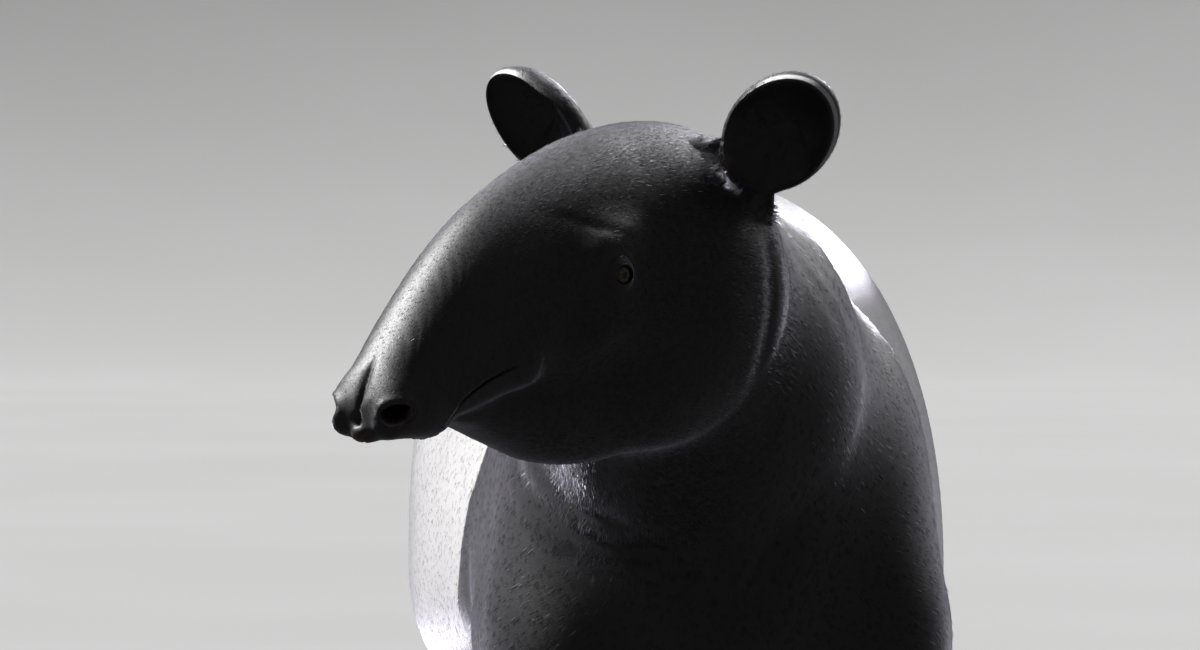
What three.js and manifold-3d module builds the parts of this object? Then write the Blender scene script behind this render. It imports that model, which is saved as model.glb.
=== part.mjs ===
// A Malayan tapir, standing square with its head turned to its right: a still, life-size model.
// Millimetres, +Z up. The animal faces -Y and its left side is +X. The flesh is one smooth field,
// drawn as lofts whose rings are cast out from a spine, and parted into nodes by thin cuts.
import * as THREE from "three";
import { LoftGeometry } from "three/addons/geometries/LoftGeometry.js";
import { mergeVertices } from "three/addons/utils/BufferGeometryUtils.js";
import Module from "manifold-3d";

const wasm = await Module();
wasm.setup();

// Driving dimensions.
const GAP = 0.3; // between nodes that touch
const HEAD_YAW = 38; // degrees the head is turned to the right
const HEAD_ROLL = 3; // degrees the left side of the head is lowered
const HEAD_AT = [-180, -850, 920]; // midway between the eyes
const POLL = [-66, -704, 900]; // where the neck meets the skull
const EYE_RADIUS = 14.5;
const EYE_AT = [0, 76, 6]; // in the head's own frame: forward, left, up
const EAR_ROOT = [-178, 74, 80];
const EAR_LEAN = { left: 1.05, right: 1.3 }; // outward for each unit upward
const EAR_LENGTH = 130;
const EAR_WIDTH = 96;
const FORE_STANCE = 138; // half the distance between the feet
const HIND_STANCE = 140;
const SOLE_LIFT = 0; // the floor

// Colours.
const COAT_BLACK = 0x141317;
const SADDLE_WHITE = 0xd9d7d2;
const HORN = 0x2a2725;
const IRIS = 0x4a3a26;

// Trunk stations from chest to rump: back line, belly line, half width, level of the widest point
// and how square the section is.
const TRUNK = [
  { at: -600, top: 800, low: 505, half: 112, mid: 640, square: 1.9 },
  { at: -500, top: 880, low: 486, half: 160, mid: 620, square: 1.8 },
  { at: -400, top: 948, low: 470, half: 190, mid: 605, square: 1.7 },
  { at: -300, top: 974, low: 460, half: 212, mid: 600, square: 1.75 },
  { at: -150, top: 974, low: 440, half: 243, mid: 602, square: 2.0 },
  { at: 50, top: 984, low: 418, half: 270, mid: 606, square: 2.3 },
  { at: 200, top: 1002, low: 416, half: 275, mid: 614, square: 2.45 },
  { at: 350, top: 1008, low: 440, half: 262, mid: 640, square: 2.5 },
  { at: 480, top: 980, low: 480, half: 238, mid: 670, square: 2.35 },
  { at: 590, top: 908, low: 530, half: 204, mid: 690, square: 2.2 },
  { at: 690, top: 806, low: 590, half: 150, mid: 700, square: 2.0 },
];
const TRUNK_ENDS = { from: -630, fromRound: 120, to: 706, toRound: 150 };

// Stations of the skull and the short trunk-like nose, in the head's own frame.
const SKULL = [
  { at: -240, top: 92, low: -70, half: 84, mid: 10, square: 2.0 },
  { at: -190, top: 122, low: -92, half: 97, mid: 4, square: 2.1 },
  { at: -130, top: 132, low: -106, half: 103, mid: -8, square: 2.1 },
  { at: -65, top: 124, low: -110, half: 98, mid: -16, square: 2.05 },
  { at: 0, top: 104, low: -110, half: 84, mid: -22, square: 2.05 },
  { at: 50, top: 84, low: -108, half: 70, mid: -26, square: 2.0 },
  { at: 100, top: 59, low: -104, half: 57, mid: -36, square: 2.0 },
  { at: 140, top: 29, low: -104, half: 49, mid: -50, square: 2.05 },
  { at: 180, top: -9, low: -112, half: 43, mid: -74, square: 2.1 },
  { at: 212, top: -46, low: -122, half: 38, mid: -94, square: 2.2 },
  { at: 243, top: -82, low: -128, half: 31, mid: -106, square: 2.3 },
];
const SKULL_ENDS = { from: -250, fromRound: 60, to: 247, toRound: 18 };

// Stations of the lower jaw.
const JAW = [
  { at: -190, top: -20, low: -112, half: 54, mid: -64, square: 2.0 },
  { at: -130, top: -30, low: -146, half: 76, mid: -80, square: 2.1 },
  { at: -70, top: -40, low: -164, half: 72, mid: -92, square: 2.1 },
  { at: 0, top: -60, low: -162, half: 58, mid: -104, square: 2.0 },
  { at: 60, top: -80, low: -145, half: 43, mid: -112, square: 2.0 },
  { at: 120, top: -90, low: -127, half: 34, mid: -110, square: 2.1 },
  { at: 175, top: -96, low: -130, half: 28, mid: -113, square: 2.2 },
];
const JAW_ENDS = { from: -200, fromRound: 60, to: 190, toRound: 22 };

// Smooth curves through the stations, one per measure.
function profile(stations) {
  const keys = Object.keys(stations[0]).filter((key) => key !== "at");
  const slope = (key, i) => {
    const a = stations[Math.max(i - 1, 0)];
    const b = stations[Math.min(i + 1, stations.length - 1)];
    return (b[key] - a[key]) / (b.at - a.at);
  };
  const slopes = stations.map((_, i) => Object.fromEntries(keys.map((key) => [key, slope(key, i)])));
  return (along) => {
    const first = stations[0].at;
    const last = stations[stations.length - 1].at;
    const s = Math.min(Math.max(along, first), last);
    let i = 0;
    while (i < stations.length - 2 && stations[i + 1].at < s) i += 1;
    const a = stations[i];
    const b = stations[i + 1];
    const span = b.at - a.at;
    const t = (s - a.at) / span;
    const rise = t * t * (3 - 2 * t);
    const start = t * (1 - t) * (1 - t) * span;
    const end = t * t * (1 - t) * span;
    const made = {};
    for (const key of keys) {
      const turn = slopes[i][key] * start - slopes[i + 1][key] * end;
      made[key] = a[key] + (b[key] - a[key]) * rise + turn;
    }
    return made;
  };
}

// Rounds a body off at both ends of its length.
function endShare(along, { from, fromRound, to, toRound }) {
  const before = Math.max((from + fromRound - along) / fromRound, 0);
  const after = Math.max((along - to + toRound) / toRound, 0);
  const past = Math.max(before, after);
  return Math.sqrt(Math.max(1 - past * past, 1e-6));
}

// Fields: each gives about how far a point is outside the surface, negative inside.
function sectioned(stations, ends) {
  const shape = profile(stations);
  return (side, along, up) => {
    const s = shape(along);
    const share = endShare(along, ends);
    const rise = up - s.mid;
    const reach = (rise > 0 ? s.top - s.mid : s.mid - s.low) * share;
    const across = Math.abs(side) / (s.half * share);
    const high = Math.abs(rise) / reach;
    const ratio = Math.pow(Math.pow(across, s.square) + Math.pow(high, s.square), 1 / s.square);
    const beyond = Math.max(along - ends.to, ends.from - along, 0);
    const distance = ratio < 1e-6 ? -reach : Math.hypot(side, rise) * (1 - 1 / ratio);
    return beyond > 0 ? Math.hypot(Math.max(distance, 0), beyond) : distance;
  };
}

function egg([cx, cy, cz], [rx, ry, rz], pitch = 0) {
  const turn = THREE.MathUtils.degToRad(pitch);
  const c = Math.cos(turn);
  const s = Math.sin(turn);
  return (x, y, z) => {
    const px = x - cx;
    const py = (y - cy) * c + (z - cz) * s;
    const pz = (z - cz) * c - (y - cy) * s;
    const near = Math.hypot(px / rx, py / ry, pz / rz);
    const slope = Math.hypot(px / (rx * rx), py / (ry * ry), pz / (rz * rz));
    return slope < 1e-9 ? -Math.min(rx, ry, rz) : (near * (near - 1)) / slope;
  };
}

// A tapered limb between two points, narrower across X where narrow is under 1.
function limb(a, b, fromRadius, toRadius, narrow = 1) {
  const axis = b.map((v, i) => v - a[i]);
  const long = axis[0] ** 2 + axis[1] ** 2 + axis[2] ** 2;
  return (x, y, z) => {
    const p = [x - a[0], y - a[1], z - a[2]];
    const t = Math.min(Math.max((p[0] * axis[0] + p[1] * axis[1] + p[2] * axis[2]) / long, 0), 1);
    const dx = (p[0] - axis[0] * t) / narrow;
    return Math.hypot(dx, p[1] - axis[1] * t, p[2] - axis[2] * t) - fromRadius - (toRadius - fromRadius) * t;
  };
}

function limbs(joints, narrow = 1) {
  return joints.slice(1).map((to, i) => limb(joints[i].at, to.at, joints[i].radius, to.radius, narrow));
}

const paired = (field) => (x, y, z) => field(Math.abs(x), y, z);

function blended(soft, fields) {
  return (x, y, z) => {
    let d = fields[0](x, y, z);
    for (let i = 1; i < fields.length; i += 1) {
      const other = fields[i](x, y, z);
      const h = Math.max(soft - Math.abs(d - other), 0) / soft;
      d = Math.min(d, other) - (h * h * soft) / 4;
    }
    return d;
  };
}

// The head's frame: forward, left and up, at the point midway between the eyes.
const yaw = THREE.MathUtils.degToRad(HEAD_YAW);
const roll = THREE.MathUtils.degToRad(HEAD_ROLL);
const FORWARD = new THREE.Vector3(-Math.sin(yaw), -Math.cos(yaw), 0);
const LEFT = new THREE.Vector3(Math.cos(yaw), -Math.sin(yaw), 0).applyAxisAngle(FORWARD, -roll);
const UP = FORWARD.clone().cross(LEFT);
const HEAD_FRAME = new THREE.Matrix4()
  .makeBasis(FORWARD, LEFT, UP)
  .setPosition(...HEAD_AT);
const onHead = (forward, left, up) => new THREE.Vector3(forward, left, up).applyMatrix4(HEAD_FRAME);

function inHead(field) {
  const [cx, cy, cz] = HEAD_AT;
  return (x, y, z) => {
    const p = [x - cx, y - cy, z - cz];
    const forward = p[0] * FORWARD.x + p[1] * FORWARD.y + p[2] * FORWARD.z;
    const left = p[0] * LEFT.x + p[1] * LEFT.y + p[2] * LEFT.z;
    return field(left, forward, p[0] * UP.x + p[1] * UP.y + p[2] * UP.z);
  };
}

// The head, as (left, forward, up) in its own frame.
const headMasses = blended(22, [
  blended(12, [sectioned(SKULL, SKULL_ENDS), sectioned(JAW, JAW_ENDS)]),
  paired(egg([54, -92, -68], [50, 76, 76])), // chewing muscle
  paired(limb([70, 14, -36], [84, -110, -30], 20, 26)), // cheekbone
  paired(egg([60, 0, 30], [26, 42, 17], -20)), // brow
  paired(egg([21, 226, -108], [17, 28, 20], -30)), // wing of the nostril
  paired(limb([27, 188, -106], [50, 88, -74], 11, 13)), // upper lip
  egg([0, 170, -118], [25, 25, 13]), // chin
]);
const headField = inHead(headMasses);

// The neck, the trunk and the masses that carry the legs.
const NECK = [
  { at: [0, -380, 745], radius: 205 },
  { at: [-22, -540, 822], radius: 174 },
  { at: POLL, radius: 138 },
];
const neckField = blended(40, limbs(NECK, 0.82));
const trunkField = blended(70, [
  (x, y, z) => trunkSections(x, y, z),
  paired(egg([136, -385, 618], [70, 140, 212], -8)), // shoulder
  paired(egg([132, -450, 560], [72, 100, 100])), // point of the shoulder
  paired(egg([146, 470, 600], [96, 190, 210], 20)), // thigh
  paired(egg([150, 350, 530], [76, 100, 95])), // stifle
]);
const trunkSections = sectioned(TRUNK, TRUNK_ENDS);
const fleshField = blended(46, [blended(90, [trunkField, neckField]), headField]);

// Frames for the rings, a smooth run from each key frame to the next.
function frames(keys) {
  const curve = new THREE.CatmullRomCurve3(keys.map(({ at }) => at));
  const made = [];
  keys.slice(0, -1).forEach(({ rings, crowd }, i) => {
    for (let j = 0; j < rings; j += 1) {
      const even = j / rings;
      const t = { start: 1 - Math.cos((even * Math.PI) / 2), end: Math.sin((even * Math.PI) / 2) }[crowd] ?? even;
      made.push({
        centre: curve.getPoint((i + t) / (keys.length - 1)),
        facing: keys[i].facing.clone().lerp(keys[i + 1].facing, t).normalize(),
        side: keys[i].side.clone().lerp(keys[i + 1].side, t),
      });
    }
  });
  const last = keys[keys.length - 1];
  return [...made, { centre: last.at, facing: last.facing, side: last.side }];
}

const along = (key, distance) => ({ ...key, at: key.at.clone().addScaledVector(key.facing, distance) });

function cast(field, centre, way, grow) {
  const value = (r) => field(centre.x + way.x * r, centre.y + way.y * r, centre.z + way.z * r) - grow;
  const step = 5;
  let outer = step;
  while (value(outer) < 0 && outer < 700) outer += step;
  let inner = outer - step;
  for (let i = 0; i < 14; i += 1) {
    const middle = (inner + outer) / 2;
    if (value(middle) < 0) inner = middle;
    else outer = middle;
  }
  return Math.max((inner + outer) / 2, 0.5);
}

// A closed loft whose rings are cast out from their centres onto the field's surface.
function castLoft(field, places, segments, grow = 0) {
  const sections = places.map(({ centre, facing, side }) => {
    const across = side.clone().addScaledVector(facing, -side.dot(facing)).normalize();
    const up = facing.clone().cross(across);
    return Array.from({ length: segments }, (_, j) => {
      const angle = (2 * Math.PI * j) / segments;
      const way = across.clone().multiplyScalar(Math.cos(angle)).addScaledVector(up, Math.sin(angle));
      return centre.clone().addScaledVector(way, cast(field, centre, way, grow));
    });
  });
  return solid(new LoftGeometry(sections, { capStart: true, capEnd: true }));
}

// Solids and cuts.
function solid(geometry) {
  const bare = new THREE.BufferGeometry().copy(geometry);
  for (const name of Object.keys(bare.attributes)) {
    if (name !== "position") bare.deleteAttribute(name);
  }
  const merged = mergeVertices(bare, 1e-3);
  return new wasm.Manifold(
    new wasm.Mesh({
      numProp: 3,
      vertProperties: new Float32Array(merged.attributes.position.array),
      triVerts: new Uint32Array(merged.index.array),
    }),
  );
}

const largest = (made) => made.decompose().sort((a, b) => b.volume() - a.volume())[0];

function geometryOf(made) {
  const mesh = made.getMesh();
  return new THREE.BufferGeometry()
    .setAttribute("position", new THREE.BufferAttribute(new Float32Array(mesh.vertProperties), 3))
    .setIndex(new THREE.BufferAttribute(new Uint32Array(mesh.triVerts), 1));
}

function placedEgg(radii, matrix, across = 20, rows = 14) {
  return solid(new THREE.SphereGeometry(1, across, rows).scale(...radii).applyMatrix4(matrix));
}

// Where the nodes of the flesh meet, and the runs of rings between those joins.
const X = new THREE.Vector3(1, 0, 0);
const BACK_AND_FRONT = new THREE.Vector3(0, -1, 0);
const NECK_JOIN = {
  at: new THREE.Vector3(0, -440, 765),
  facing: new THREE.Vector3(-0.03, -0.8, 0.6).normalize(),
  side: X,
};
const SADDLE_JOIN = {
  at: new THREE.Vector3(0, -235, 680),
  facing: new THREE.Vector3(0, -1, 0.06).normalize(),
  side: X,
};
const joinYaw = THREE.MathUtils.degToRad(30);
const HEAD_JOIN = {
  at: onHead(-205, 0, -12),
  facing: new THREE.Vector3(-Math.sin(joinYaw), -Math.cos(joinYaw), 0.17).normalize(),
  side: LEFT,
};
const trunkKey = (y, z, rings, crowd) => ({
  at: new THREE.Vector3(0, y, z),
  facing: BACK_AND_FRONT,
  side: X,
  rings,
  crowd,
});
const headKey = (forward, up, drop, rings, crowd) => ({
  at: onHead(forward, 0, up),
  facing: FORWARD.clone().addScaledVector(UP, -drop).normalize(),
  side: LEFT,
  rings,
  crowd,
});
const torsoFrames = frames([
  trunkKey(699, 716, 5, "start"),
  trunkKey(600, 706, 9),
  trunkKey(100, 684, 6),
  along(SADDLE_JOIN, -GAP / 2),
]);
const shoulderFrames = frames([{ ...along(SADDLE_JOIN, GAP / 2), rings: 8 }, along(NECK_JOIN, -GAP / 2)]);
const neckFrames = frames([
  { ...along(NECK_JOIN, GAP / 2), rings: 4 },
  { at: new THREE.Vector3(-22, -545, 826), facing: new THREE.Vector3(-0.18, -0.88, 0.42), side: X, rings: 5 },
  along(HEAD_JOIN, -GAP / 2),
]);
const headFrames = frames([
  { ...along(HEAD_JOIN, GAP / 2), rings: 5 },
  headKey(-110, -10, 0, 5),
  headKey(-10, -20, 0.12, 6),
  headKey(90, -42, 0.4, 7),
  headKey(175, -78, 0.5, 5),
  headKey(218, -100, 0.45, 5, "end"),
  headKey(245.5, -112, 0.45),
]);
const headLoft = (grow) => castLoft(fleshField, headFrames, 38, grow);
const neckLoft = (grow) => castLoft(fleshField, neckFrames, 38, grow);
const shoulderLoft = (grow) => castLoft(fleshField, shoulderFrames, 38, grow);
const torsoLoft = (grow) => castLoft(fleshField, torsoFrames, 38, grow);

// Legs: joints from inside the trunk down to the foot, on the left side.
const foreJoints = (shift) => [
  { at: [118, -372, 560], radius: 90 },
  { at: [138, -356 + shift * 0.3, 424], radius: 74 },
  { at: [FORE_STANCE, -364 + shift * 0.6, 285], radius: 52 },
  { at: [FORE_STANCE, -370 + shift * 0.8, 185], radius: 42 },
  { at: [FORE_STANCE, -380 + shift, 100], radius: 46 },
  { at: [FORE_STANCE, -396 + shift, 44], radius: 46 },
];
const hindJoints = (shift) => [
  { at: [104, 440, 575], radius: 126 },
  { at: [134, 455 + shift * 0.3, 446], radius: 94 },
  { at: [HIND_STANCE + 2, 512 + shift * 0.7, 322], radius: 58 },
  { at: [HIND_STANCE, 500 + shift * 0.85, 210], radius: 44 },
  { at: [HIND_STANCE, 482 + shift, 108], radius: 47 },
  { at: [HIND_STANCE, 464 + shift, 44], radius: 46 },
];
const LEGS = [
  { name: "fore_leg_left", side: 1, joints: foreJoints(-26), toes: "fore" },
  { name: "fore_leg_right", side: -1, joints: foreJoints(24), toes: "fore" },
  { name: "hind_leg_left", side: 1, joints: hindJoints(34), toes: "hind" },
  { name: "hind_leg_right", side: -1, joints: hindJoints(-30), toes: "hind" },
];
// Toes: turn from straight ahead towards the outside, reach, width and height of the hoof.
const TOES = {
  fore: [
    { name: "inner", turn: -30, reach: 66, wide: 19, high: 40, long: 30 },
    { name: "middle", turn: 0, reach: 80, wide: 21, high: 44, long: 32 },
    { name: "outer", turn: 30, reach: 66, wide: 19, high: 40, long: 30 },
    { name: "side", turn: 82, reach: 50, wide: 14, high: 28, long: 22 },
  ],
  hind: [
    { name: "inner", turn: -32, reach: 66, wide: 19, high: 40, long: 30 },
    { name: "middle", turn: 0, reach: 80, wide: 21, high: 44, long: 32 },
    { name: "outer", turn: 32, reach: 66, wide: 19, high: 40, long: 30 },
  ],
};

// The fleshy part of each toe, under which the hoof sits like a cap.
function toeFields(foot, toes) {
  return toes.map(({ turn, reach, wide, high }) => {
    const way = THREE.MathUtils.degToRad(turn);
    const end = [foot[0] + Math.sin(way) * (reach - 12), foot[1] - Math.cos(way) * (reach - 12), high * 0.55];
    return limb([foot[0], foot[1], 48], end, 34, wide);
  });
}

function hoofSolid(foot, toe, side, grow) {
  const way = THREE.MathUtils.degToRad(toe.turn) * side;
  const ahead = new THREE.Vector3(Math.sin(way), -Math.cos(way), 0);
  const place = new THREE.Matrix4()
    .makeRotationZ(way)
    .setPosition(foot[0] + ahead.x * toe.reach, foot[1] + ahead.y * toe.reach, 4);
  const whole = placedEgg([toe.wide + grow, toe.long + grow, toe.high + grow], place, 12, 8);
  const back = ahead.clone().setZ(0.5).normalize();
  const behind = back.dot(new THREE.Vector3(foot[0], foot[1], 0)) + toe.reach * 0.9 - grow;
  return whole.trimByPlane([0, 0, 1], SOLE_LIFT).trimByPlane(back.toArray(), behind);
}

const materials = {
  black: new THREE.MeshStandardMaterial({ color: COAT_BLACK, roughness: 0.62 }),
  white: new THREE.MeshStandardMaterial({ color: SADDLE_WHITE, roughness: 0.75 }),
  horn: new THREE.MeshStandardMaterial({ color: HORN, roughness: 0.5 }),
  eye: new THREE.MeshStandardMaterial({ color: IRIS, roughness: 0.08 }),
};
const tapir = new THREE.Group();

function addNode(name, made, material) {
  const mesh = new THREE.Mesh(geometryOf(largest(made)), material);
  mesh.name = name;
  tapir.add(mesh);
}

// Features of the head.
const sideOf = (name) => (name === "left" ? 1 : -1);
const earFacing = new THREE.Vector3(0.89, 0.26, -0.37);

// An ear's own frame on the head: across, facing and along.
function earFrame(name) {
  const flip = new THREE.Vector3(1, sideOf(name), 1);
  const along = new THREE.Vector3(0.12, EAR_LEAN[name], 1).normalize().multiply(flip);
  const facing = earFacing.clone().multiply(flip);
  facing.addScaledVector(along, -facing.dot(along)).normalize();
  const across = facing.clone().cross(along);
  const root = new THREE.Vector3(...EAR_ROOT).multiply(flip);
  return new THREE.Matrix4()
    .makeBasis(across, facing, along)
    .setPosition(root)
    .premultiply(HEAD_FRAME);
}

function earSolid(name) {
  const frame = earFrame(name);
  const put = (x, y, z) => new THREE.Matrix4().makeTranslation(x, y, z).premultiply(frame);
  const half = EAR_WIDTH / 2;
  const shell = placedEgg([half, 32, EAR_LENGTH / 2], put(0, 0, EAR_LENGTH * 0.55), 18, 12);
  const root = placedEgg([30, 28, 52], put(0, -4, 20), 12, 8);
  const hollow = placedEgg([half - 6, 34, EAR_LENGTH / 2 - 7], put(0, 20, EAR_LENGTH * 0.57), 16, 10);
  return shell.add(root).subtract(hollow);
}

const eyeMatrix = (side) =>
  new THREE.Matrix4().makeTranslation(EYE_AT[0], EYE_AT[1] * side, EYE_AT[2]).premultiply(HEAD_FRAME);
const eyeBall = (side, grow) =>
  placedEgg([EYE_RADIUS + grow, EYE_RADIUS + grow, EYE_RADIUS + grow], eyeMatrix(side), 16, 10);

// Lids: a shell over the eyeball, opened by an almond.
function withLids(head, side) {
  const lid = EYE_RADIUS + 3;
  const opening = new THREE.Matrix4()
    .makeTranslation(EYE_AT[0] + 1, (EYE_AT[1] + 16) * side, EYE_AT[2] - 0.5)
    .premultiply(HEAD_FRAME);
  return head
    .add(placedEgg([lid + 2, lid, lid], eyeMatrix(side), 16, 10))
    .subtract(placedEgg([12.5, 14, 9.5], opening, 14, 8))
    .subtract(eyeBall(side, GAP));
}

// Nostrils open forward and outward at the tip of the nose.
function withNostril(head, side) {
  const place = new THREE.Matrix4()
    .makeRotationFromEuler(new THREE.Euler(0, 0.35, 0.5 * side))
    .setPosition(232, 23 * side, -109)
    .premultiply(HEAD_FRAME);
  return head.subtract(placedEgg([24, 13, 9], place, 14, 10));
}

// The line of the mouth is a groove cast onto the skin from corner to corner.
function mouthGroove() {
  const corner = { forward: 85, up: -68 };
  const front = { forward: 184, up: -113 };
  const points = [];
  const count = 9;
  for (let i = 0; i < count; i += 1) {
    const share = i / (count - 1);
    const forward = corner.forward + (front.forward - corner.forward) * share;
    const up = corner.up + (front.up - corner.up) * Math.pow(share, 1.8);
    const centre = onHead(forward, 0, up);
    points.push(centre.clone().addScaledVector(LEFT, cast(fleshField, centre, LEFT, 0)));
  }
  const tip = onHead(front.forward - 10, 0, front.up);
  const middle = tip.clone().addScaledVector(FORWARD, cast(fleshField, tip, FORWARD, 0));
  const mirror = (p) => p.clone().addScaledVector(LEFT, -2 * LEFT.dot(p.clone().sub(tip)));
  const path = new THREE.CatmullRomCurve3([...points, middle, ...points.map(mirror).reverse()]);
  const bead = new THREE.Shape().absarc(0, 0, 3.2, 0, 2 * Math.PI);
  return solid(new THREE.ExtrudeGeometry(bead, { steps: 30, curveSegments: 2, extrudePath: path }));
}

const grownTrunk = torsoLoft(GAP).add(shoulderLoft(GAP));
const grownTorso = torsoLoft(GAP);
const grownHead = headLoft(GAP);

let finishedHead = headLoft(0);
for (const name of ["left", "right"]) {
  finishedHead = withNostril(withLids(finishedHead, sideOf(name)), sideOf(name));
}
finishedHead = finishedHead.subtract(mouthGroove());
addNode("head", finishedHead, materials.black);
addNode("neck", neckLoft(0), materials.black);
addNode("shoulders", shoulderLoft(0), materials.black);
addNode("torso", torsoLoft(0), materials.white);
for (const name of ["left", "right"]) {
  addNode("ear_" + name, earSolid(name).subtract(grownHead), materials.black);
  addNode("eye_" + name, eyeBall(sideOf(name), 0), materials.eye);
}

const DOWN = new THREE.Vector3(0, 0, -1);
for (const { name, side, joints, toes } of LEGS) {
  const mirrored = joints.map(({ at, radius }) => ({ at: [at[0] * side, at[1], at[2]], radius }));
  const foot = mirrored[mirrored.length - 1].at;
  const turned = TOES[toes].map((toe) => ({ ...toe, turn: toe.turn * side }));
  const field = blended(14, [blended(34, limbs(mirrored)), ...toeFields(foot, turned)]);
  const down = mirrored.map(({ at }, i) => ({
    at: new THREE.Vector3(...at),
    facing: DOWN,
    side: X,
    rings: [2, 4, 3, 2, 2, 3][i],
  }));
  down[down.length - 1].at.z = 44;
  down.push({ ...down[down.length - 1], at: new THREE.Vector3(foot[0], foot[1] - 6, -4) });
  let leg = castLoft(field, frames(down), 20).trimByPlane([0, 0, 1], SOLE_LIFT).subtract(grownTrunk);
  for (const toe of TOES[toes]) {
    leg = leg.subtract(hoofSolid(foot, toe, side, GAP));
  }
  addNode(name, leg, materials.black);
  for (const toe of TOES[toes]) {
    addNode(name.replace("leg", "hoof") + "_" + toe.name, hoofSolid(foot, toe, side, 0), materials.horn);
  }
}

// Tail: a short thick stub that hangs at the rump.
const TAIL = [
  { at: [0, 650, 812], radius: 34 },
  { at: [0, 706, 772], radius: 25 },
  { at: [0, 722, 712], radius: 15 },
];
const tailKeys = TAIL.map(({ at }, i) => ({
  at: new THREE.Vector3(...at),
  facing: new THREE.Vector3(0, [0.8, 0.5, 0.1][i], [-0.6, -0.85, -1][i]).normalize(),
  side: X,
  rings: [3, 3, 3][i],
  crowd: i === 2 ? "end" : undefined,
}));
tailKeys.push({ ...tailKeys[2], at: new THREE.Vector3(0, 723, 697.5) });
const tail = castLoft(blended(20, limbs(TAIL)), frames(tailKeys), 14);
addNode("tail", tail.subtract(grownTorso), materials.white);

// The frame's origin is under the middle of the animal, on the floor.
const box = new THREE.Box3().setFromObject(tapir);
const middle = box.getCenter(new THREE.Vector3());
tapir.position.set(-middle.x, -middle.y, -box.min.z);

export default tapir;
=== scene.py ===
"""A Malayan tapir as a still, life-size model: one skin over its flesh, short fur, eyes and hooves."""

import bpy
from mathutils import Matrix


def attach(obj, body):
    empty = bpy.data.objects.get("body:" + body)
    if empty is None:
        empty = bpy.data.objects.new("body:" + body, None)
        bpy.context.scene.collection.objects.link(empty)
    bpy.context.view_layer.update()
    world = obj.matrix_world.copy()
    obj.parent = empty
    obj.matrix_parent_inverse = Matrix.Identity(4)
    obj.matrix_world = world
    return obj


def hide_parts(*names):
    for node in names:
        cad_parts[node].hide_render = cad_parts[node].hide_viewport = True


bl_info = {
    "name": "Malayan Tapir",
    "version": (1, 0, 0),
    "blender": (4, 5, 0),
    "location": "View3D > Sidebar > Tapir",
    "description": "Dresses the solids of a standing tapir with skin, fur, eyes and hooves",
    "category": "Add Mesh",
}

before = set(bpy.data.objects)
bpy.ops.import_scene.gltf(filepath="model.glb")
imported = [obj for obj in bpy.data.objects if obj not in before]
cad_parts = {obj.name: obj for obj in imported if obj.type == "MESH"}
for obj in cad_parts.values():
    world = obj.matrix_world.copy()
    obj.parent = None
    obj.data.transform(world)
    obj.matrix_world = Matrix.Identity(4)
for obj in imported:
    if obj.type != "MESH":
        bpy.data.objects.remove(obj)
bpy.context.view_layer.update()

import math

import bmesh
import bpy
import numpy as np
from mathutils import Vector

# The solids' own measures, in millimetres in the frame that they were drawn in.
OFFSET = np.array([42.8738, 161.6142, 0.0])
HEAD_YAW = math.radians(38)
HEAD_ROLL = math.radians(3)
HEAD_AT = np.array([-180.0, -850.0, 920.0])
POLL = (-66, -704, 900)
EYE_RADIUS = 14.5
EYE_AT = (0, 76, 6)
EAR_ROOT = (-178, 74, 80)
EAR_LEAN = {1: 1.05, -1: 1.3}
EAR_LENGTH = 130
EAR_WIDTH = 96
FORE_STANCE = 138
HIND_STANCE = 140

# Stations: place, top, low, half width, level of the widest point, squareness.
TRUNK = [
    (-600, 800, 505, 112, 640, 1.9),
    (-500, 880, 486, 160, 620, 1.8),
    (-400, 948, 470, 190, 605, 1.7),
    (-300, 974, 460, 212, 600, 1.75),
    (-150, 974, 440, 243, 602, 2.0),
    (50, 984, 418, 270, 606, 2.3),
    (200, 1002, 416, 275, 614, 2.45),
    (350, 1008, 440, 262, 640, 2.5),
    (480, 980, 480, 238, 670, 2.35),
    (590, 908, 530, 204, 690, 2.2),
    (690, 806, 590, 150, 700, 2.0),
]
TRUNK_ENDS = (-630, 120, 706, 150)
SKULL = [
    (-240, 92, -70, 84, 10, 2.0),
    (-190, 122, -92, 97, 4, 2.1),
    (-130, 132, -106, 103, -8, 2.1),
    (-65, 124, -110, 98, -16, 2.05),
    (0, 104, -110, 84, -22, 2.05),
    (50, 84, -108, 70, -26, 2.0),
    (100, 59, -104, 57, -36, 2.0),
    (140, 29, -104, 49, -50, 2.05),
    (180, -9, -112, 43, -74, 2.1),
    (212, -46, -122, 38, -94, 2.2),
    (243, -82, -128, 31, -106, 2.3),
]
SKULL_ENDS = (-250, 60, 247, 18)
JAW = [
    (-190, -20, -112, 54, -64, 2.0),
    (-130, -30, -146, 76, -80, 2.1),
    (-70, -40, -164, 72, -92, 2.1),
    (0, -60, -162, 58, -104, 2.0),
    (60, -80, -145, 43, -112, 2.0),
    (120, -90, -127, 34, -110, 2.1),
    (175, -96, -130, 28, -113, 2.2),
]
JAW_ENDS = (-200, 60, 190, 22)
TAIL = [((0, 650, 812), 34), ((0, 706, 772), 25), ((0, 722, 712), 15)]


def fore_joints(shift):
    return [
        ((118, -372, 560), 90),
        ((138, -356 + shift * 0.3, 424), 74),
        ((FORE_STANCE, -364 + shift * 0.6, 285), 52),
        ((FORE_STANCE, -370 + shift * 0.8, 185), 42),
        ((FORE_STANCE, -380 + shift, 100), 46),
        ((FORE_STANCE, -396 + shift, 44), 46),
    ]


def hind_joints(shift):
    return [
        ((104, 440, 575), 126),
        ((134, 455 + shift * 0.3, 446), 94),
        ((HIND_STANCE + 2, 512 + shift * 0.7, 322), 58),
        ((HIND_STANCE, 500 + shift * 0.85, 210), 44),
        ((HIND_STANCE, 482 + shift, 108), 47),
        ((HIND_STANCE, 464 + shift, 44), 46),
    ]


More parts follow.
